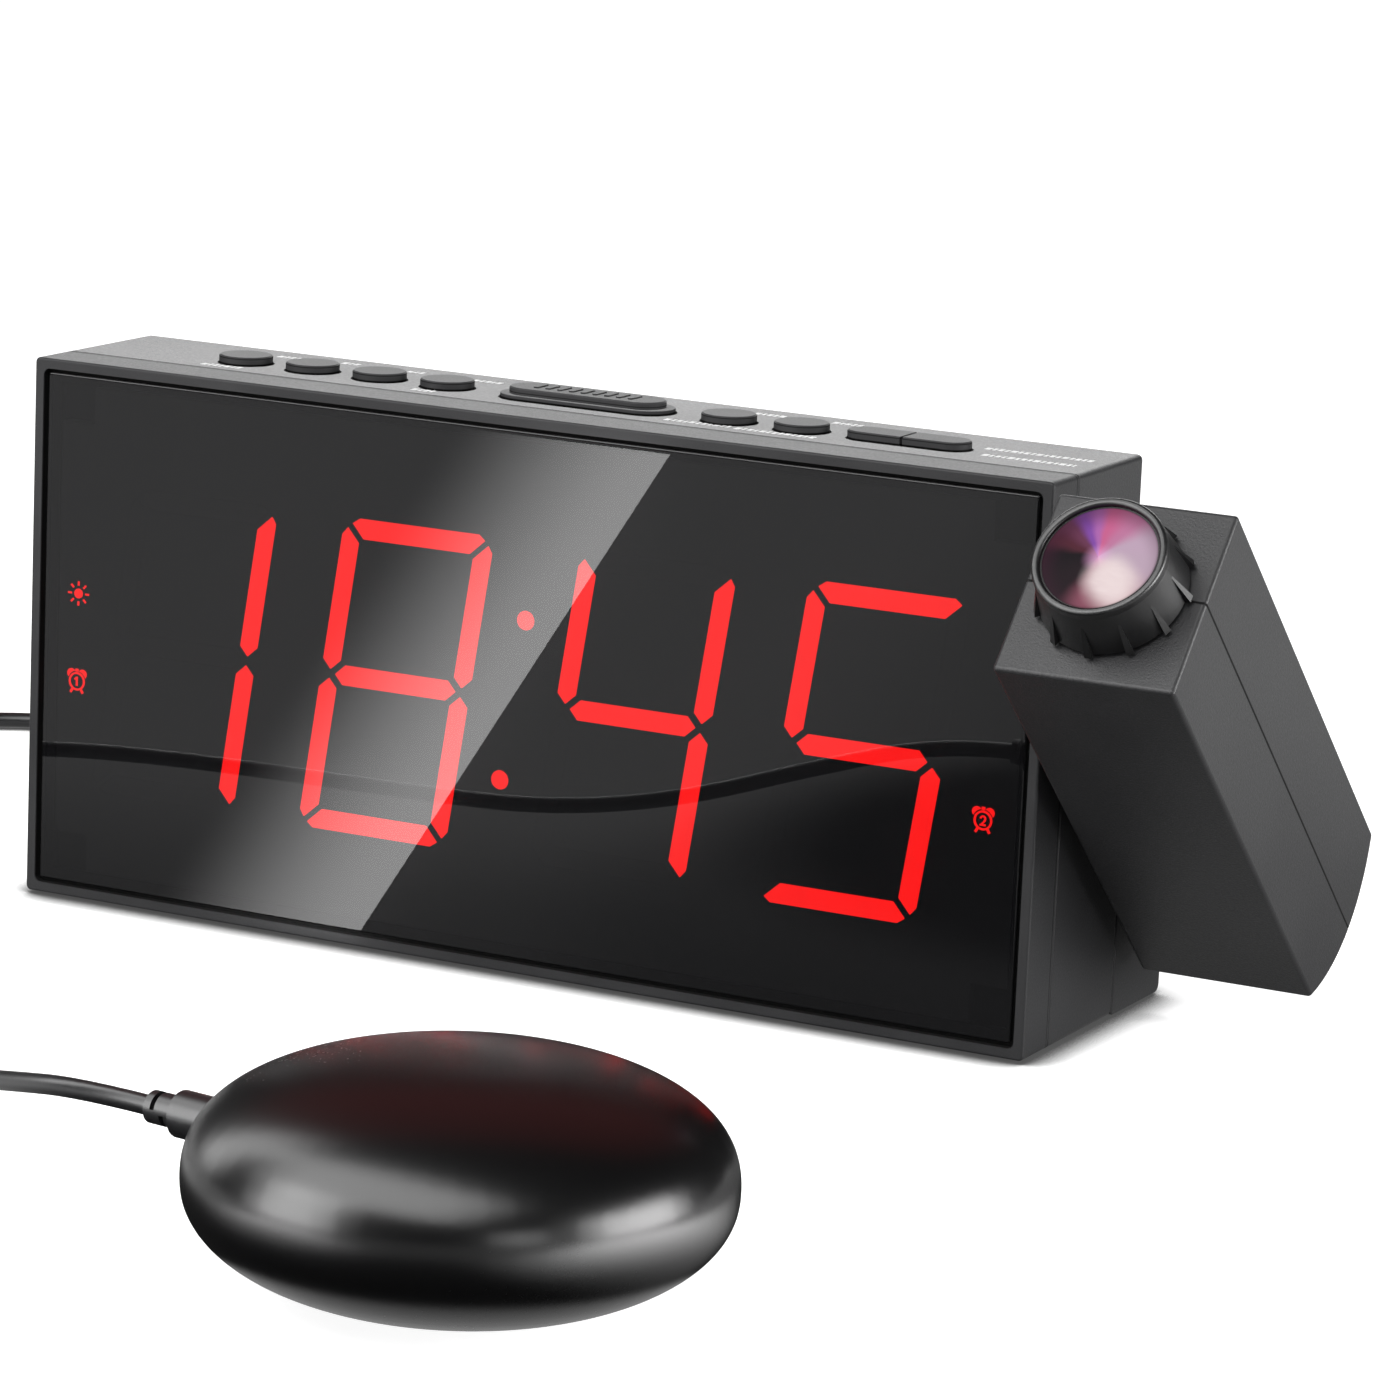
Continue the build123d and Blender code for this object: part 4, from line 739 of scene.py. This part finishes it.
def mirrorGlowAndShade(paint, where, fromPuck):
    clock, front, byProjector, puck, behindPuck = (
        mirrorFloor[key] for key in ("clock", "front", "byProjector", "puck", "behindPuck")
    )
    across, back = paint.part(where, "X"), paint.part(where, "Y")
    # painted shade toward the clock's foot
    (middleX, middleY), (halfX, halfY) = clock["middle"], clock["half"]
    fromClock = ((across - middleX).size() - halfX).most((back - middleY).size() - halfY)
    near = fromClock.above(clock["reach"] / 2, clock["reach"] / 2) * clock["dark"] + (1.0 - clock["dark"])
    # painted shade in front of the clock at the right, and a painted shadow beyond the projector
    right = (across - front["start"] - back * front["lean"]).above(0.0, front["soft"])
    before = back.below(front["back"], front["soft"])
    beyond = paint.away(where, byProjector["middle"]).below(*byProjector["step"])
    # a ring of painted shade round the puck, and a patch of painted shade behind it
    outsideFoot = fromPuck.above(*puck["footStep"])
    ring = outsideFoot * fromPuck.below(*puck["step"])
    behind = paint.away(where, behindPuck["middle"]).below(*behindPuck["step"]) * outsideFoot
    bright = (1.0 - right * before * front["dark"]) * (1.0 - ring * puck["dark"])
    bright = bright * (1.0 - behind * behindPuck["dark"])
    return bright * near * (1.0 - beyond * byProjector["dark"]) * mirrorFloor["bright"]


def makeFloor():
    half = stage["floor"] / 2
    floor = stagePlane("floor", [(-half, -half, 0), (half, -half, 0), (half, half, 0), (-half, half, 0)])
    paint = Paint("whiteFloor", Roughness=1.0, Specular_IOR_Level=0.0)
    where = paint.place(scale=1.0)
    fromPuck = paint.away(where, stage["puck"])
    wider = stage["contact"] - stage["puckContact"]
    reach = fromPuck.above(*stage["puckNear"]) * wider + stage["puckContact"]
    openSky = paint.node(
        "ShaderNodeAmbientOcclusion", {"samples": stage["contactRays"]}, {"Distance": reach}, "AO"
    )
    shade = openSky.above(*stage["contactStep"]) * (1.0 - stage["contactDark"]) + stage["contactDark"]
    paint.feed(Base_Color=paint.blend(shade, (0.0, 0.0, 0.0), (stage["pale"],) * 3))
    toEye = paint.node("ShaderNodeLightPath", output="Is Camera Ray")
    seen = paint.node("ShaderNodeEmission", None, {"Strength": toEye * shade * stage["glow"]})
    lit = paint.node("ShaderNodeAddShader", None, {0: Wire(paint, paint.shader.outputs[0]), 1: seen})
    mirrored = paint.node("ShaderNodeEmission", None, {"Strength": mirrorGlowAndShade(paint, where, fromPuck)})
    toShine = paint.node("ShaderNodeLightPath", output="Is Glossy Ray")
    paint.surface(paint.node("ShaderNodeMixShader", None, {0: toShine, 1: lit, 2: mirrored}))
    floor.data.materials.append(paint.material)


makeFloor()


def clearLamp(paint, strength, colour=(1.0, 1.0, 1.0)):
    # a clear surface, and the same surface with light added
    clear = paint.node("ShaderNodeBsdfTransparent")
    lamp = paint.node("ShaderNodeEmission", None, {"Color": colour, "Strength": strength})
    return clear, paint.node("ShaderNodeAddShader", None, {0: lamp, 1: clear})


# A bright card just before the window, seen only in its reflection: the slanting glare
glare = {
    "top": (0.02728, 0.09122), "foot": (-0.02849, 0.00235), "gap": 0.006, "shift": (-0.507, -0.233),
    "reach": 0.042, "strength": 6.4,
}


def makeGlare():
    gap, reach = glare["gap"], glare["reach"]
    (topX, topZ), (footX, footZ) = (
        (x + glare["shift"][0] * gap, z + glare["shift"][1] * gap) for x, z in (glare["top"], glare["foot"])
    )
    y = paneBox[0][1] - gap
    card = stagePlane("glareCard", [
        (footX - reach, y, footZ), (footX, y, footZ), (topX, y, topZ), (topX - reach, y, topZ),
    ])
    hideFrom(card, "camera", "diffuse", "shadow", "transmission")
    paint = Paint("glare")
    where = paint.place(scale=1.0)
    lean = (topX - footX) / (topZ - footZ)
    edge = footX - lean * footZ
    inside = (edge - reach / 2) - (paint.part(where, "X") - paint.part(where, "Z") * lean)
    clear, shining = clearLamp(paint, inside.below(0.0, reach / 2) * glare["strength"])
    behind = paint.node("ShaderNodeNewGeometry", output="Backfacing")
    paint.surface(paint.node("ShaderNodeMixShader", None, {0: behind, 1: clear, 2: shining}))
    card.data.materials.append(paint.material)


makeGlare()


# Soft boxes with soft edges, each by its turn from the front and its rise in degrees
# Pools are bright patches of floor that only the puck's gloss shows
studio = {
    "ambient": 0.3,
    "shine": 0.04,
    "aim": (0.05, -0.12, 0.04),
    "edge": 0.7,
    "boxes": {
        "frontBox": {
            "lights": "puck", "turn": -38, "rise": 13, "far": 0.95, "size": (0.90, 1.20), "bright": 9.5,
        },
        "leftBox": {
            "lights": "puck", "turn": -96, "rise": 28, "far": 0.95, "size": (0.50, 1.30), "bright": 3.6,
        },
        "highBox": {
            "lights": "all", "turn": -18, "rise": 54, "far": 0.90, "size": (2.3, 1.05), "bright": 5.6,
        },
        "rightBox": {
            "lights": "all", "turn": 102, "rise": 6, "far": 0.90, "size": (1.05, 0.80), "bright": 13.5,
        },
        "sideBox": {
            "lights": "puck", "turn": 52, "rise": 7, "far": 1.20, "size": (0.60, 0.50), "bright": 3.6,
        },
        "redBox": {
            "lights": "puck", "turn": -155, "rise": 45, "far": 1.4, "size": (2.4, 1.3), "bright": 0.2,
            "tint": (1.0, 0.1, 0.1),
        },
        "fillBox": {
            "lights": "clock", "turn": -40, "rise": 14, "far": 0.95, "size": (1.1, 0.8), "bright": 5.0,
        },
        "backBox": {
            "lights": "clock", "turn": -157, "rise": 19, "far": 2.3, "size": (3.2, 1.5), "bright": 3.8,
        },
    },
    "pools": {
        "rightPool": {"lights": "puck", "turn": 94, "far": 0.19, "size": (0.22, 0.32), "bright": 10.0},
        "leftPool": {"lights": "puck", "turn": -38, "far": 0.22, "size": (0.18, 0.32), "bright": 6.0},
    },
    "poolRise": 0.0006,
}


def makeWorld():
    # plain white to the camera, dim to everything else
    world = bpy.data.worlds.new("studio")
    sky = Nodes(world)
    toShine = sky.node("ShaderNodeLightPath", output="Is Glossy Ray")
    toEye = sky.node("ShaderNodeLightPath", output="Is Camera Ray")
    level = sky.node(
        "ShaderNodeMapRange", None, {"Value": toShine, "To Min": studio["ambient"], "To Max": studio["shine"]}
    )
    strength = sky.node("ShaderNodeMapRange", None, {"Value": toEye, "To Min": level, "To Max": 1.0})
    background = sky.find("BACKGROUND")
    sky.set(background.inputs["Color"], (1.0, 1.0, 1.0))
    sky.set(background.inputs["Strength"], strength)
    bpy.context.scene.world = world


def makeGroup(name, pieces):
    # the pieces that a soft box lights
    group = bpy.data.collections.new(name)
    for piece in pieces:
        group.objects.link(piece)
    return group


makeWorld()
shakerNodes = [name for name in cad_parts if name.startswith("shaker_") and name != "shaker_socket"]
puckPieces = [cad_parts[name] for name in (*shakerNodes, "strain_relief")] + [shakerLead]
clockPieces = [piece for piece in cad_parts.values() if piece not in puckPieces]
groups = {"puck": makeGroup("puckPieces", puckPieces), "clock": makeGroup("clockPieces", clockPieces)}


def makeSoftCard(name, corners, lights, bright, tint=(1.0, 1.0, 1.0)):
    card = stagePlane(name, corners)
    layer = card.data.uv_layers.new(name="own")
    for loop, place in zip(layer.data, ((-1, -1), (1, -1), (1, 1), (-1, 1))):
        loop.uv = place
    paint = Paint(name)
    where = paint.node("ShaderNodeTexCoord", output="UV")
    soft = studio["edge"] / 2
    across, up = (paint.part(where, axis).within(1.0 - soft, soft) for axis in "XY")
    shining = clearLamp(paint, across * up, tone(tint, bright))[1]
    paint.surface(shining)
    card.data.materials.append(paint.material)
    hideFrom(card, "camera", "shadow")
    if lights in groups:
        card.light_linking.receiver_collection = groups[lights]
    return card


def makeSoftBox(name, turn, rise, far, size, **light):
    turn, rise = math.radians(turn), math.radians(rise)
    toward = Vector((math.sin(turn) * math.cos(rise), -math.cos(turn) * math.cos(rise), math.sin(rise)))
    middle = Vector(studio["aim"]) + toward * far
    side = Vector((math.cos(turn), math.sin(turn), 0)) * size[0] / 2
    tall = side.cross(toward).normalized() * size[1] / 2
    corners = [middle - side - tall, middle + side - tall, middle + side + tall, middle - side + tall]
    makeSoftCard(name, corners, **light)


def makePool(name, turn, far, size, **light):
    turn = math.radians(turn)
    away = Vector((math.sin(turn), -math.cos(turn), 0))
    side = Vector((math.cos(turn), math.sin(turn), 0)) * size[0] / 2
    middle = Vector(stage["puck"]) + away * far + Vector((0, 0, studio["poolRise"]))
    deep = away * size[1] / 2
    corners = [middle - side + deep, middle - side - deep, middle + side - deep, middle + side + deep]
    hideFrom(makeSoftCard(name, corners, **light), "diffuse")


for boxName, boxFacts in studio["boxes"].items():
    makeSoftBox(boxName, **boxFacts)
for poolName, poolFacts in studio["pools"].items():
    makePool(poolName, **poolFacts)


# Camera, worked out for a square frame: angles in degrees, the focal length in the frame's own pixels
cameraView = {
    "place": (0.44135, -0.82993, 0.23838),
    "azimuth": 26.878,
    "elevation": 11.739,
    "roll": 2.4645,
    "focal": 5671.67,
    "frame": 1400,
    "sensor": 36.0,
    "clip": (0.01, 50.0),
}


def makeCamera():
    azimuth, elevation, roll = (math.radians(cameraView[key]) for key in ("azimuth", "elevation", "roll"))
    level = math.cos(elevation)
    ahead = Vector((-math.sin(azimuth) * level, math.cos(azimuth) * level, -math.sin(elevation)))
    right = Vector((math.cos(azimuth), math.sin(azimuth), 0))
    up = right.cross(ahead)
    turnedRight = math.cos(roll) * right + math.sin(roll) * up
    turnedUp = math.cos(roll) * up - math.sin(roll) * right
    data = bpy.data.cameras.new("camera")
    data.sensor_width = cameraView["sensor"]
    data.lens = cameraView["sensor"] * cameraView["focal"] / cameraView["frame"]
    data.clip_start, data.clip_end = cameraView["clip"]
    camera = joinScene("camera", data)
    basis = Matrix((turnedRight, turnedUp, -ahead)).transposed().to_4x4()
    camera.matrix_world = Matrix.Translation(cameraView["place"]) @ basis
    bpy.context.scene.camera = camera


makeCamera()
bpy.context.scene.view_settings.view_transform = "Standard"
print("stage done")
